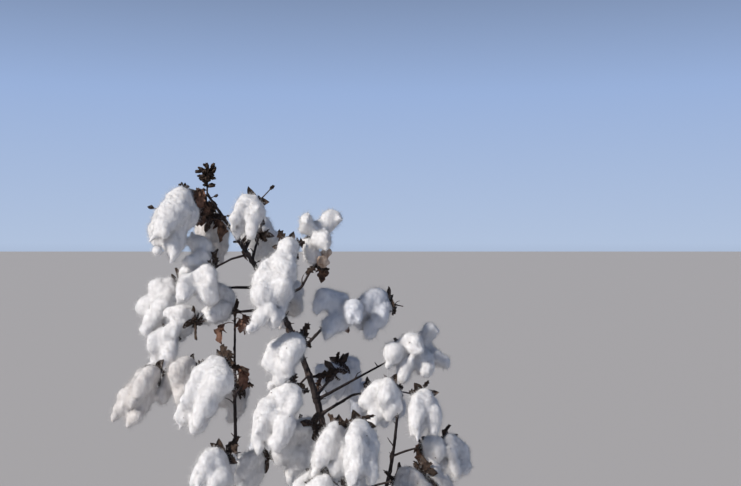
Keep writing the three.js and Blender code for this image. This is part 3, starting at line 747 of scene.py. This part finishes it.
stump_shapes = []
limbs = [stem.line() for stem in stems.values()]
limbs += [(row["bough_line"], row["bough_radii"]) for row in sprays if "bough_line" in row]
for number, (points, radii) in enumerate(limbs):
    rng = np.random.default_rng(STUMP_SEED + number)
    line, runs = resampled(points, 2, ease=0)
    thick = np.interp(runs, np.linspace(0, runs[-1], len(radii)), radii)
    run = STUMP_EVERY * (1 + rng.random())
    while run < runs[-1] - 6:
        foot, radius = point_along(line, run / runs[1]), np.interp(run, runs, thick)
        way = aim(rng.random() * 360, lerp(5, 60, rng.random()))
        long = radius + lerp(*STUMP_REACH, rng.random() ** 2.4)
        stump = bent(foot, way, long, 0.5 * rng.normal(size=3))
        room = balls_along([foot + way * (radius + 4), stump[-1]], [1.0, 0.8])
        if foot[2] > LOWEST_STUMP and clears(room, [balls for _, _, balls in taken]):
            stump_shapes += limb(stump, 1.5, 1, STUMP_RADII, 7)
        run += STUMP_EVERY * lerp(0.5, 1.5, rng.random())
joined_piece("dry_stumps", stump_shapes, [twig_paint], bough_nodes)

# The burrs: each boll's dry case, split into three or four hard pointed carpels that have bent back, dark and
# rough outside, smooth and tan inside. As many ragged bracts, thin as paper, are still stuck under each.
HUSK_COLOURS = ((0.028, 0.018, 0.014, 1), (0.120, 0.082, 0.060, 1))
LINING_COLOURS = ((0.040, 0.027, 0.020, 1), (0.125, 0.085, 0.060, 1))
BRACT_COLOURS = ((0.020, 0.013, 0.010, 1), (0.095, 0.062, 0.044, 1))
CARPEL_WIDTH = 8.5
CARPEL_WALL = 1.1
CARPEL_CURL = 1.14
CARPEL_BULGE = 15
CARPEL_CUP = 5.5
BRACT_LENGTH = 27
BRACT_WIDTH = 9.5
BRACT_FOOT = 5
BRACT_BULGE = 14
BRACT_TILT = (-0.5, 0.3)
CUP_HEIGHTS = (-7, -5.6, -3.6, -1.2, 1.4)
CUP_RADII = (2.2, 5.2, 7.6, 8.8, 8.2)

burr_paints = [matt_material("husk_outside", HUSK_COLOURS, scale=160, grain=1100, roughness=0.75),
               matt_material("husk_lining", LINING_COLOURS, scale=120, grain=900, roughness=0.6, bump=0.3),
               matt_material("dry_bract", BRACT_COLOURS, scale=190, grain=1200, roughness=0.85)]


def curve_of(first, middle, last, share):
    share = share[:, None]
    return first * (1 - share) ** 2 + 2 * middle * share * (1 - share) + last * share ** 2


def blade(rib, across, half, over):
    """A grid of points that spreads from a rib to both sides."""
    return rib[:, None] + across * (half[:, None] * over)[:, :, None]


def sheet(points, *paint):
    """A grid of points as a shape."""
    rows, columns = points.shape[:2]
    corner = (np.arange(rows - 1)[:, None] * columns + np.arange(columns - 1)).reshape(-1, 1)
    return (points.reshape(-1, 3), corner + [0, 1, columns + 1, columns], *paint)


def carpel(centre, axis, spoke, rng):
    """A cupped, pointed half-shell that starts under the boll's middle, bulges out and bends back."""
    share = np.linspace(0, 1, 9)
    tip = centre + leaning(axis, spoke, CARPEL_OPEN + 8) * CARPEL_LENGTH * CARPEL_CURL
    rib = curve_of(centre - axis * 3.6, centre + spoke * CARPEL_BULGE - axis * 3, tip, share)
    rib = rib + axis * (1.5 * np.sin(share * 9 + rng.random() * 6) * share)[:, None]
    half = CARPEL_WIDTH * np.sin(math.pi * np.clip(share * 0.86 + 0.14, 0, 1)) ** 0.75
    half = half * lerp(0.84, 1.1, rng.random(9))
    half[-1] = 0.25
    over = np.linspace(-1, 1, 7)
    cup = np.sin(math.pi * (0.15 + 0.8 * share))[:, None] * over ** 2
    cupped = cup[:, :, None] * (axis * CARPEL_CUP - spoke * 1.5)
    inner = blade(rib, np.cross(axis, spoke), half, over) + cupped
    inner = inner + axis * (0.5 * rng.normal(size=(9, 7)) * share[:, None])[:, :, None]
    back = CARPEL_WALL * (1 + 1.5 * np.exp(-((over / 0.22) ** 2)) + 0.35 * rng.random((9, 7)))
    outer = inner - (axis * 0.8 + spoke * 0.35) * back[:, :, None]
    corners, faces = sheet(inner)
    rim = np.concatenate([np.arange(0, 63, 7), np.arange(57, 63), np.arange(55, -1, -7), np.arange(5, 0, -1)])
    around = np.stack([rim, np.roll(rim, -1), np.roll(rim, -1) + 63, rim + 63], axis=1)
    both = np.vstack([corners, outer.reshape(-1, 3)])
    return [(both, faces, 1), (None, faces[:, ::-1] + 63, 0), (None, around[:, ::-1], 0)]


def bract(centre, axis, spoke, size, rng):
    """A thin torn leaf under the burr, with long teeth, that stands out between two locks or bends back."""
    share = np.linspace(0, 1, 10)
    foot = centre - axis * BRACT_FOOT
    way = spoke + axis * lerp(*BRACT_TILT, rng.random()) + 0.2 * rng.normal(size=3)
    tip = foot + way * BRACT_LENGTH * size
    rib = curve_of(foot, foot + spoke * BRACT_BULGE * size - axis * 2, tip, share)
    across = unit(np.cross(axis, spoke) + 0.3 * rng.normal(size=3))
    half = BRACT_WIDTH * size * np.sin(math.pi * (share * 0.8 + 0.12)) ** 0.8
    half = half * np.where(np.arange(10) % 2, 1.05, 0.5) * lerp(0.75, 1.1, rng.random(10))
    over = np.linspace(-1, 1, 7)
    waves = 1.98 * np.sin(over * 7 + rng.random() * 6) * share[:, None]
    return [sheet(blade(rib, across, half, over) + axis * (waves - over ** 2 * 3.5)[:, :, None], 2)]


def burr_cup(centre, axis, rng):
    """The round foot of the case, where its carpels are joined to the stalk."""
    line = np.array([centre + axis * height for height in CUP_HEIGHTS])
    return tube(line, np.array(CUP_RADII) * lerp(0.92, 1.08, rng.random()), 14)


def neighbours(items):
    return zip(items, items[1:] + items[:1])


burr_shapes = []
for row in sprays:
    for boll in row["bolls_set"]:
        rng = np.random.default_rng(boll["seed"])
        centre, axis, size = boll["centre"], boll["axis"], boll["size"]
        burr_shapes += burr_cup(centre, axis, rng)
        for spoke in boll["spokes"]:
            burr_shapes += carpel(centre, axis, spoke, rng)
        for spoke, beside in neighbours(boll["spokes"]):
            burr_shapes += bract(centre, axis, unit(spoke + beside + 0.25 * rng.normal(size=3)), size, rng)
joined_piece("burrs_and_bracts", burr_shapes, burr_paints, spray_nodes)

# The lint: three or four locks to a boll, each a soft roll of white fibre as long as a finger. It has slid
# out of its carpel and hangs over it, pulled down and to the left by the wind. The locks cling together.
LINT_VOXEL = 2.6
BIG_SWELLINGS = 6
SMALL_SWELLINGS = 6
SWELLING_STRETCH = 0.75
TAILS = 3
TAIL_LENGTH = 16
TAIL_PULL = np.array([1, 0, 0.3])
LONG_PULL = {"top_left": 1.9, "side_crest": 1.3, "mid_front": 1.3}
SWEPT = {"top_left": 0.34}
WISPS = 4
WISP_LENGTHS = (5, 13)
RISING = 0.25
HANG_STREAK = 0.42
BROAD_LUMPS = (2.4, 18)
DRAWN_FOLDS = (1.3, 9)
FINE_LUMPS = (0.8, 4.5)
LINT_PAD = 1.4
HALF_OPEN = ("high_right", 0)
LINT_WHITE = ((0.79, 0.775, 0.765, 1), (0.93, 0.92, 0.91, 1))
# The warmer, darker lint is partly a warm tone of its own and partly painted shade: it is darker than the
# white and goes to bolls that lie in shade.
LINT_CREAM_AND_SHADE = ((0.66, 0.62, 0.59, 1), (0.83, 0.80, 0.77, 1))
# The bluish grey lint is painted shade: the colour of lint in shadow, given to the bolls that lie in the
# shade of others.
LINT_PAINTED_SHADE = ((0.70, 0.72, 0.77, 1), (0.85, 0.86, 0.89, 1))
CREAM_AND_SHADE_SPRAYS = ("top_whip", "side_inner", "side_outer", "middle_back", "foot_right")
PAINTED_SHADE_SPRAYS = ("middle_right", "mid_back", "low_back", "far_back")
LINT_SHEEN = {"Sheen Weight": 0.45, "Sheen Roughness": 0.7, "Subsurface Radius": (1.0, 0.95, 0.9),
              "Subsurface Scale": 0.005, "Specular IOR Level": 0.1}
LINT_DEPTH = 0.3
LINT_PARTS = (0, 7, 13, 20, 30)
LINT_EASING = 15
LINT_SEED = 50000


def lint_materials(kind, deep):
    shine = LINT_SHEEN | {"Subsurface Weight": deep}
    return [matt_material(f"{name}_{kind}", colours, 120, 430, 0.35, 1, 1, shine)
            for name, colours in (("white", LINT_WHITE), ("cream_and_shade", LINT_CREAM_AND_SHADE), ("shaded", LINT_PAINTED_SHADE))]


lint_paints = lint_materials("lint", LINT_DEPTH)
fibre_paints = lint_materials("fibres", 0)

ball = bmesh.new()
bmesh.ops.create_icosphere(ball, subdivisions=2, radius=1)
BALL = np.array([corner.co[:] for corner in ball.verts])
BALL_FACES = np.array([[corner.index for corner in face.verts] for face in ball.faces])
ball.free()


def eased(points):
    """A smooth line of the same course: each corner is cut off three times."""
    points = np.asarray(points, float)
    for _ in range(3):
        a, b = points[:-1], points[1:]
        cut = np.stack([a * 0.75 + b * 0.25, a * 0.25 + b * 0.75], axis=1).reshape(-1, 3)
        points = np.vstack([points[:1], cut, points[-1:]])
    return points


def puff(centre, radius, rng, along=UP, stretch=0):
    """A soft swelling, a little flattened one way or another, and drawn out along the lock."""
    flat = unit(rng.normal(size=3))
    squeeze = lerp(0.0, 0.25, rng.random())
    shape = BALL - np.outer(BALL @ flat, flat) * squeeze
    return centre + (shape + np.outer(shape @ along, along) * stretch) * radius


def billows(lock, rng, pull, swept, high):
    """One lock as soft swellings along its line, with wisps that stand off it and a ragged thin end."""
    line, _ = resampled(eased(lock["points"]), 2, ease=1)
    bodies = []

    def thick(share):
        return lock_thickness(share, lock["radius"], lock["phase"])

    def middle(share):
        return point_along(line, share * (len(line) - 1))

    for share in np.linspace(0.08, 0.9, BIG_SWELLINGS) + rng.normal(size=BIG_SWELLINGS) * 0.03:
        radius = thick(share) * lerp(0.92, 1.1, rng.random())
        bodies.append((middle(share) + rng.normal(size=3) * radius * 0.16, radius, 0))
    for share in rng.random(SMALL_SWELLINGS) * 0.85 + 0.12:
        beside = middle(share) + unit(rng.normal(size=3)) * thick(share) * 0.6
        bodies.append((beside, thick(share) * lerp(0.36, 0.56, rng.random()), SWELLING_STRETCH))
    along = unit(line[-1] - line[1])
    falling = unit(line[-1] - line[-6]) - UP * 0.8
    for _ in range(TAILS):
        way = unit(falling + rng.normal(size=3) * 0.4 + (1 - pull) * TAIL_PULL)
        foot = line[-4] + rng.normal(size=3) * lock["radius"] * 0.32
        long = lerp(0.1, 1, rng.random() ** 1.5) * TAIL_LENGTH * pull
        for share in (0.15, 0.4, 0.6, 0.8, 1):
            bodies.append((foot + way * long * share, lock["radius"] * lerp(0.42, 0.13, share), 0.3))
    for share in 0.1 + 0.8 * rng.random(WISPS):
        out = unit(rng.normal(size=3))
        foot = middle(share) + out * thick(share) * 0.75
        way = unit(out + along * 0.7 + rng.normal(size=3) * 0.4)
        long = lerp(*WISP_LENGTHS, rng.random() ** 1.6)
        if along[2] > RISING:
            way = unit(way + UP)
            long *= 1.5
        for reach in (0.1, 0.45, 0.75, 1):
            bodies.append((foot + way * long * reach, lerp(5.2, 1.7, reach), 0.2))
    for centre, _, _ in bodies:
        centre[0] += swept * (centre[2] - high)
    return [puff(centre, radius, rng, along, stretch) for centre, radius, stretch in bodies]


def heart(boll, rng):
    """The middle of a boll, where its locks cling together."""
    centre, size, axis = boll["centre"], boll["size"], boll["axis"]
    spots = [(centre + axis * 13 * size, 15), (centre + (axis * 8 + boll["fall"] * 10) * size, 14)]
    for lock, beside in neighbours(boll["locks"]):
        spots.append((lerp(lock["points"][1], beside["points"][1], 0.5) + axis * 3, 11.5))
        spots.append((lerp(lock["points"][2], beside["points"][1], 0.5) + axis * 2, 9.5))
    return [puff(spot, radius * size, rng) for spot, radius in spots]


def values_of(rows, name, width, kind):
    values = np.empty(len(rows) * width, kind)
    rows.foreach_get(name, values)
    return values.reshape(-1, width)


def merged(puffs):
    """The skin round all swellings at once, as corners, four-sided faces and edges."""
    faces = (BALL_FACES + len(BALL) * np.arange(len(puffs))[:, None, None]).reshape(-1, 3)
    raw = bpy.data.meshes.new("lint_core")
    raw.from_pydata(np.vstack(puffs).tolist(), [], faces.tolist())
    body = placed("lint_core", raw)
    skin = body.modifiers.new("skin", "REMESH")
    skin.mode = "VOXEL"
    skin.voxel_size = LINT_VOXEL
    done = bpy.data.meshes.new_from_object(body.evaluated_get(bpy.context.evaluated_depsgraph_get()))
    at = values_of(done.vertices, "co", 3, float)
    faces = values_of(done.loops, "vertex_index", 1, np.int32).reshape(-1, 4)
    edges = values_of(done.edges, "vertices", 2, np.int32)
    bpy.data.objects.remove(body)
    bpy.data.meshes.remove(raw)
    bpy.data.meshes.remove(done)
    return at, faces, edges


def gathered(index, values, count):
    """The sum of the values that go to each corner."""
    return np.stack([np.bincount(index, values[:, i], count) for i in range(3)], axis=1)


def relaxed(at, edges):
    """The same skin with each corner drawn towards the ones round it, again and again."""
    links = np.bincount(edges.ravel(), minlength=len(at)).clip(1)
    one, other = edges.T
    for _ in range(LINT_EASING):
        total = gathered(one, at[other], len(at)) + gathered(other, at[one], len(at))
        at = lerp(at, total / links[:, None], 0.6)
    return at


def face_normals(at, faces):
    return np.cross(at[faces[:, 2]] - at[faces[:, 0]], at[faces[:, 3]] - at[faces[:, 1]])


def lump(at, height, size):
    return height * noise.noise(Vector(at) / size)


def puffed(at, faces):
    """Soft swellings of several sizes, the smaller ones drawn out downwards as in teased fibre."""
    face = face_normals(at, faces)
    total = sum(gathered(faces[:, corner], face, len(at)) for corner in range(4))
    normals = total / np.linalg.norm(total, axis=1).clip(1e-9)[:, None]
    lift = [lump(spot, *BROAD_LUMPS) + abs(lump(drawn, *DRAWN_FOLDS)) + lump(drawn, *FINE_LUMPS)
            for spot, drawn in zip(at, at * (1, 1, HANG_STREAK))]
    return at + normals * (np.array(lift) + LINT_PAD)[:, None]


def locks_from_left(boll):
    return sorted(boll["locks"], key=lambda lock: lock["points"][-1][0])


lint_skins = []
for part, (first, last) in enumerate(zip(LINT_PARTS, LINT_PARTS[1:])):
    for row in sprays[first:last]:
        # Each spray's lint is white, or warmer and darker with painted shade, or bluish grey with painted
        # shade.
        paint = 1 if row["name"] in CREAM_AND_SHADE_SPRAYS else 2 if row["name"] in PAINTED_SHADE_SPRAYS else 0
        pull, swept = LONG_PULL.get(row["name"], 1), SWEPT.get(row["name"], 0)
        puffs = []
        for number, boll in enumerate(row["bolls_set"]):
            rng = np.random.default_rng(boll["seed"] + LINT_SEED)
            fluffy = boll["locks"]
            if (row["name"], number) == HALF_OPEN:
                fluffy = locks_from_left(boll)[:1]
            else:
                puffs += heart(boll, rng)
            for lock in fluffy:
                puffs += billows(lock, rng, pull, swept, boll["centre"][2])
        at, faces, edges = merged(puffs)
        lint_skins.append((puffed(relaxed(at, edges), faces), faces, paint))
    joined_piece(f"lint_{part + 1}", lint_skins[first:], lint_paints, spray_nodes[first:last])

# The loose fibres: fine white hairs that stand off every lock and blur its edge. Most are short, and the
# long ones are dragged down and to the left. They grew on the seeds inside, and each is rooted in the lint.
SHORT_FIBRES = 140000
LONG_FIBRES = 20000
SHORT_LENGTHS = (4, 11)
LONG_LENGTHS = (7, 20)
SHORT_WIDTH = 0.5
LONG_WIDTH = 0.36
FIBRE_PARTS = 3
FIBRE_THICKNESS = 0.04
SKY_LEAN = 0.7
FIBRE_TWIST = 0.35
DRAG = np.array([-0.45, 0.0, -1.0])
FIBRE_SEED = 900


def units(vectors):
    return vectors / np.linalg.norm(vectors, axis=1).clip(1e-6)[:, None]


def fibre_roots(at, faces, count, rng):
    """Places all over the lint, and the way that it faces at each."""
    face = face_normals(at, faces)
    area = np.linalg.norm(face, axis=1)
    pick = rng.choice(len(faces), count, p=area / area.sum())
    mix = rng.random((count, 4)) + 0.1
    mix /= mix.sum(axis=1)[:, None]
    return np.einsum("ij,ijk->ik", mix, at[faces[pick]]), face[pick] / area[pick].clip(1e-9)[:, None]


def fibres(root, out, way, width, beyond, sides, rng):
    """The front and the thin back of each fibre, and normals that lean to the sky. beyond holds the corners
    after the root, each as a point and how many half widths it lies beside it."""
    lit = units(out + UP * SKY_LEAN)
    wide = units(np.cross(way, lit + FIBRE_TWIST * rng.normal(size=way.shape))) * width / 2
    thick = units(np.cross(wide, way)) * FIBRE_THICKNESS
    front = [point + wide * share for point, share in [(root - out, -1), (root - out, 1)] + beyond]
    corners = np.stack(front + [corner - thick for corner in front], axis=1)
    few = len(front)
    both = np.array(sides + [(a + few, c + few, b + few) for a, b, c in sides])
    start = np.arange(len(root))[:, None, None] * 2 * few
    return corners.reshape(-1, 3), (start + both).reshape(-1, 3), np.repeat(lit, 2 * few, axis=0)


def short_fibres(at, faces, count, rng):
    """One thin triangle to each side of a fibre, standing up from the lint at any slant."""
    root, out = fibre_roots(at, faces, count, rng)
    way = units(rng.normal(size=(count, 3))) * 0.85 + out * lerp(0.5, 1.0, rng.random((count, 1)))
    way = units(way + DRAG * 0.15)
    length = lerp(*SHORT_LENGTHS, rng.random((count, 1)) ** 1.6)
    return fibres(root, out, way, SHORT_WIDTH, [(root + way * length, 0)], [(0, 1, 2)], rng)


def long_fibres(at, faces, count, rng):
    """A bent strand of three triangles to a side that leaves the lint, then trails down."""
    root, out = fibre_roots(at, faces, count, rng)
    way = units(units(rng.normal(size=(count, 3))) + DRAG * 0.55 + out * 0.35)
    length = lerp(*LONG_LENGTHS, rng.random((count, 1)) ** 2)
    middle = root + way * length * 0.5
    end = middle + units(way + DRAG * 0.5 + 0.5 * rng.normal(size=(count, 3))) * length * 0.5
    beyond = [(middle, 0.8), (middle, -0.8), (end, 0)]
    return fibres(root, out, way, LONG_WIDTH, beyond, [(0, 1, 2), (0, 2, 3), (3, 2, 4)], rng)


total_faces = sum(len(faces) for _, faces, _ in lint_skins)
few = len(sprays) // FIBRE_PARTS
for part in range(FIBRE_PARTS):
    first, last = part * few, (part + 1) * few
    shapes, normals = [], []
    for number, (at, faces, paint) in enumerate(lint_skins[first:last], first):
        rng = np.random.default_rng(FIBRE_SEED + number)
        for grown, count in ((short_fibres, SHORT_FIBRES), (long_fibres, LONG_FIBRES)):
            corners, triangles, lit = grown(at, faces, int(count * (len(faces) / total_faces)), rng)
            shapes.append((corners, triangles, paint))
            normals.append(lit)
    piece = joined_piece(f"loose_fibres_{part + 1}", shapes, fibre_paints, spray_nodes[first:last])
    piece.data.normals_split_custom_set_from_vertices(np.vstack(normals))

# The half-open boll at the right of the top: all its locks but one dried before they could fluff out. They
# are still packed hard in the case, narrow and smooth with a seam down each, and stained tan by the rain.
STAINED_COLOURS = ((0.34, 0.22, 0.15, 1), (0.80, 0.66, 0.53, 1))
PACKED_LENGTH = 0.72
PACKED_RADIUS = 0.6

stained_lint = matt_material("stained_lint", STAINED_COLOURS, 95, 700, 0.5, roughness=0.9, bump=0.7)
packed_shapes = []
packed_row = next(row for row in sprays if row["name"] == HALF_OPEN[0])
for number, lock in enumerate(locks_from_left(packed_row["bolls_set"][HALF_OPEN[1]])[1:]):
    line, runs = resampled(eased(lock["points"]), 1.5)
    few = int(len(line) * PACKED_LENGTH)
    line, runs = line[:few], runs[:few]
    thick = [lock_thickness(share * 0.96 + 0.02, lock["radius"], lock["phase"]) * PACKED_RADIUS
             for share in runs / runs[-1]]
    packed_shapes += tube(line, thick, 20, bark_relief(500 + number), runs)
joined_piece("packed_locks", packed_shapes, [stained_lint], [packed_row["node"]])

# The dead leaves that still cling on: brown, brittle, folded along their ribs and curled at the edges. Each
# hangs from a thin stalk by its joint and has three lobes, the middle one the longest.
LEAF_BROWN = ((0.020, 0.011, 0.008, 1), (0.23, 0.13, 0.085, 1))
LEAF_RUSSET = ((0.11, 0.050, 0.032, 1), (0.30, 0.17, 0.115, 1))
RUSSET_SPRAYS = ("side_crest", "middle_left", "middle_right")
LEAF_FOLD = 6.5
LEAF_RIPPLE = 2.2
LEAF_BEND = 9
DEAD_LEAF_SEED = 2000
LONE_LEAF_SEED = 4600
LONE_LEAF_CURL = 2600
# A leaf that hangs from a bare stalk: the stalk, its place along it, heading, size, spread, drop and colours.
LONE_LEAVES = [("prong", 24, 282, 1.5, 0.45, 9, (0, 0, 1)), ("prong", 15, 262, 1.1, 0.6, 6, (0, 1, 0)),
               ("prong", 34, 290, 0.7, 0.8, 4, (1, 0, 1)),
               ("left", 648, 225, 0.85, 1, 0, (1, 0, 1)), ("left", 656, 300, 0.6, 1, 0, (1, 1, 0))]

leaf_paints = [matt_material("brown_leaf", LEAF_BROWN, scale=110, grain=800),
               matt_material("russet_leaf", LEAF_RUSSET, scale=110, grain=800)]


def leaf_lobe(elbow, way, across, out, length, width, rng, paint):
    share = np.linspace(0, 1, 12)
    bend = out * LEAF_BEND * math.sin(rng.random() * 3)
    rib = curve_of(elbow, elbow + way * length * 0.5 + bend, elbow + way * length, share)
    half = width / 2 * np.sin(math.pi * (share * 0.9 + 0.05)) ** 0.7
    half = half * (1 + 0.2 * np.sin(share * 17 + rng.random() * 6)) * lerp(0.72, 1.2, rng.random(12))
    half[-1] = 0.2
    over = np.linspace(-1, 1, 9)
    fold = np.abs(over) ** 1.4 * LEAF_FOLD * (half / half.max())[:, None]
    ripples = np.sin(over * 4 + share[:, None] * 11 + rng.random() * 6) * np.abs(over) * LEAF_RIPPLE
    return sheet(blade(rib, across * 0.85, half, over) + out * (fold + ripples)[:, :, None], paint)


def dead_leaf(leaf, size, spread, paints, rng):
    """A stalk and three lobes. The lobes may differ in colour, as some dry out sooner."""
    elbow, across = leaf["elbow"], leaf["across"]
    stalk = limb([leaf["start"], lerp(leaf["start"], elbow, 0.6) + UP * 2, elbow], 1.6, 3, [0.8, 0.8], 7)
    shapes = [(*shape, paints[0]) for shape in stalk]
    out = unit(np.cross(across, leaf["down"]))
    for paint, (lean, share) in zip(paints, ((0, 1.0), (leaf["side"], SIDE_LOBE), (-leaf["side"], 0.5))):
        way = unit(leaf["down"] + across * lean * spread)
        shapes.append(leaf_lobe(elbow, way, across, out, leaf["length"] * share * size,
                                LEAF_WIDTH * share * math.sqrt(size), rng, paint))
    return shapes


leaf_shapes = []
for row in sprays:
    paint = 1 if row["name"] in RUSSET_SPRAYS else 0
    for number, leaf in enumerate(row["leaves_set"]):
        rng = np.random.default_rng(DEAD_LEAF_SEED + 10 * row["index"] + number)
        leaf_shapes += dead_leaf(leaf, 1, 1, (paint, paint, paint), rng)
prong_line, prong_runs = resampled(prong, PRONG_STEP)
for number, (name, run, heading, size, spread, drop, paints) in enumerate(LONE_LEAVES):
    start = point_along(prong_line, run / prong_runs[1]) if name == "prong" else stems[name].at(run)
    leaf = leaf_plan(start, heading, seeded(LONE_LEAF_SEED + number))
    leaf["elbow"] = leaf["elbow"] - UP * drop
    rng = np.random.default_rng(LONE_LEAF_CURL + number)
    leaf_shapes += dead_leaf(leaf, size, spread, paints, rng)
leafy_nodes = [row["node"] for row in sprays if row["leaves_set"]]
joined_piece("dead_leaves", leaf_shapes, leaf_paints, leafy_nodes)

# The leaf litter: crumbs of dry leaf and bract that the wind has broken off and the lint has caught. They
# are flat, brown and a few millimetres long, and cling to the fibres.
FLECKS = 150
FLECK_SIZES = (0.9, 2.8)
FLECK_SEED = 6000

fleck_shapes = []
for number, (at, faces, _) in enumerate(lint_skins):
    rng = np.random.default_rng(FLECK_SEED + number)
    count = int(FLECKS * len(faces) / total_faces)
    root, out = fibre_roots(at, faces, count, rng)
    size = lerp(*FLECK_SIZES, rng.random((count, 1)) ** 2)
    first = units(np.cross(out, rng.normal(size=(count, 3))))
    second = np.cross(out, first)
    root = root + out * 0.9
    corners = np.stack([root - first * size, root + second * size * 0.5 + out * 0.5,
                        root + first * size * 0.7, root - second * size * 0.4 + out * 0.3], axis=1)
    fleck_shapes.append((corners.reshape(-1, 3), np.arange(count * 4).reshape(-1, 4)))
joined_piece("leaf_litter", fleck_shapes, leaf_paints, spray_nodes)

# The tuft at the very tip: small unopened buds, each in its three dark dry bracts, crowded on short stalks
# round the last joints of the stem.
TUFT_COLOURS = ((0.009, 0.006, 0.005, 1), (0.115, 0.075, 0.052, 1))
TUFT_BUDS = 10
TUFT_BUD_LENGTH = 17
TUFT_RISE = (5, 60)
TUFT_SEED = 99
TUFT_SPREAD = 26
NECK_SHARE = 0.5
SMALL_BUD_TURNS = (30, 100, 170, 240, 310)
BUD_SEED = 77

tuft_brown = matt_material("tuft_brown", TUFT_COLOURS, scale=220, grain=1300, bump=0.9)


def dry_bud(foot, way, length, rng):
    """A small closed bud with three pointed bracts folded round it."""
    line, runs = resampled([foot - way * 2, foot + way * length * 0.62], length / 9, 0)
    swell = length * 0.15 * np.sin(math.pi * np.clip(runs / runs[-1], 0.12, 0.97)) ** 0.8
    shapes = tube(line, swell, 8)
    side = unit(np.cross(way, aim(rng.random() * 360, 10)))
    share, over = np.linspace(0, 1, 7), np.linspace(-1, 1, 5)
    half = length * 0.27 * np.sin(math.pi * (0.1 + 0.85 * share)) ** 0.8
    half[-1] = 0.1
    for i in range(3):
        angle = i * 2 * math.pi / 3 + rng.random() * 0.7
        spoke = side * math.cos(angle) + np.cross(way, side) * math.sin(angle)
        tip = foot + way * length * (0.85 + 0.12 * rng.random())
        tip = tip + spoke * length * (0.28 * rng.random() + 0.05)
        rib = curve_of(foot, foot + way * length * 0.45 + spoke * length * 0.36, tip, share)
        cup = spoke * (over ** 2 * half.max() * 0.5)[:, None]
        wrap = blade(rib, np.cross(way, spoke), half, over) - cup
        shapes.append(sheet(wrap + 0.35 * rng.normal(size=wrap.shape)))
    return shapes


rng = np.random.default_rng(BUD_SEED)
tuft_foot = main_stem.at(STEM_TOP)
tuft_head = np.array([tuft_foot[0], tuft_foot[1], PLANT_HEIGHT - TUFT_BUD_LENGTH])
tuft_radii = [STEM_TIP_RADIUS * 1.15, STEM_TIP_RADIUS * 0.8]
tuft_shapes = limb([tuft_foot - UP * 2, tuft_head], 1.6, 0, tuft_radii, 10, 7)
draw = seeded(TUFT_SEED)
for i in range(TUFT_BUDS):
    share = math.sqrt((i + 1) / TUFT_BUDS)
    rise = 90 if i == TUFT_BUDS - 1 else lerp(*TUFT_RISE, share * draw())
    foot = lerp(tuft_foot, tuft_head, share)
    tuft_shapes += dry_bud(foot, aim(GOLDEN_ANGLE * i, rise), TUFT_BUD_LENGTH, rng)
    for turn in SMALL_BUD_TURNS if share > NECK_SHARE else (90,):
        small = aim(GOLDEN_ANGLE * i + turn, 55 * rng.random() - 10)
        start = foot + (rng.random() - 0.6) * 7 * UP + small * TUFT_SPREAD * max(share - NECK_SHARE, 0)
        tuft_shapes += tube(np.array([foot, lerp(foot, start, 0.5), start + small * 2]), [0.9, 0.8, 0.7], 6)
        tuft_shapes += dry_bud(start, small, TUFT_BUD_LENGTH * lerp(0.5, 0.8, rng.random()), rng)
joined_piece("tip_tuft_buds", tuft_shapes, [tuft_brown], ["tip_tuft"])

# The buds at the end of each long bare twig and at the tips of the side stems, and the ones that dried up
# at the joints of the upper stem. Each is shut in its bracts like those of the tuft.
BARE_TWIG = 30
BUD_LENGTH = 12
TWIG_BUDS = ((0, 1), (55, 0.7), (-50, 0.7))
SIDE_TIP_BUDS = ((0, 0, 14), (1, 50, 9), (9, -60, 9), (26, 40, 8), (44, -45, 8))
PRONG_BUDS = [(3, 120, 50, 6), (3, 190, -8, 7), (2, 215, -38, 14), (2, 250, 5, 9), (1, 80, 60, 8),
              (2, 60, 55, 8)]
STEM_BUDS = [(931, 12, 22, 9), (917, 206, 30, 8), (896, 350, 8, 7), (872, 40, 24, 9), (846, 218, 10, 8),
             (806, 15, 30, 8)]

whip_shapes, whip_nodes = [], []
for row in sprays:
    if row["tip"] > BARE_TWIG:
        whip_nodes.append(row["node"])
        way = unit(row["line"][-1] - row["line"][-2])
        for turn, share in TWIG_BUDS:
            side = unit(way + math.sin(math.radians(turn)) * aim(270, 40 + turn))
            whip_shapes += dry_bud(row["line"][-1], side, BUD_LENGTH * share, rng)
for name in ("left", "right"):
    side = stems[name]
    for back, turn, length in SIDE_TIP_BUDS:
        way = unit(side.points[-1] - side.points[-2] + math.sin(math.radians(turn)) * aim(200 + turn, 10))
        whip_shapes += dry_bud(side.at(side.top - back - 1), way, length, rng)
joined_piece("whip_buds", whip_shapes, [tuft_brown], whip_nodes)

stem_bud_shapes = []
for corner, heading, rise, length in PRONG_BUDS:
    stem_bud_shapes += dry_bud(prong[corner], aim(heading, rise), length, np.random.default_rng(heading))
for height, heading, rise, length in STEM_BUDS:
    way = aim(heading, rise)
    foot = main_stem.at(height)
    stem_bud_shapes += tube(np.array([foot, foot + way * 5, foot + way * 9]), [1.3, 0.9, 0.8], 7)
    stem_bud_shapes += dry_bud(foot + way * 8, way, length, rng)
joined_piece("stem_buds", stem_bud_shapes, [tuft_brown], ["main_stem"])
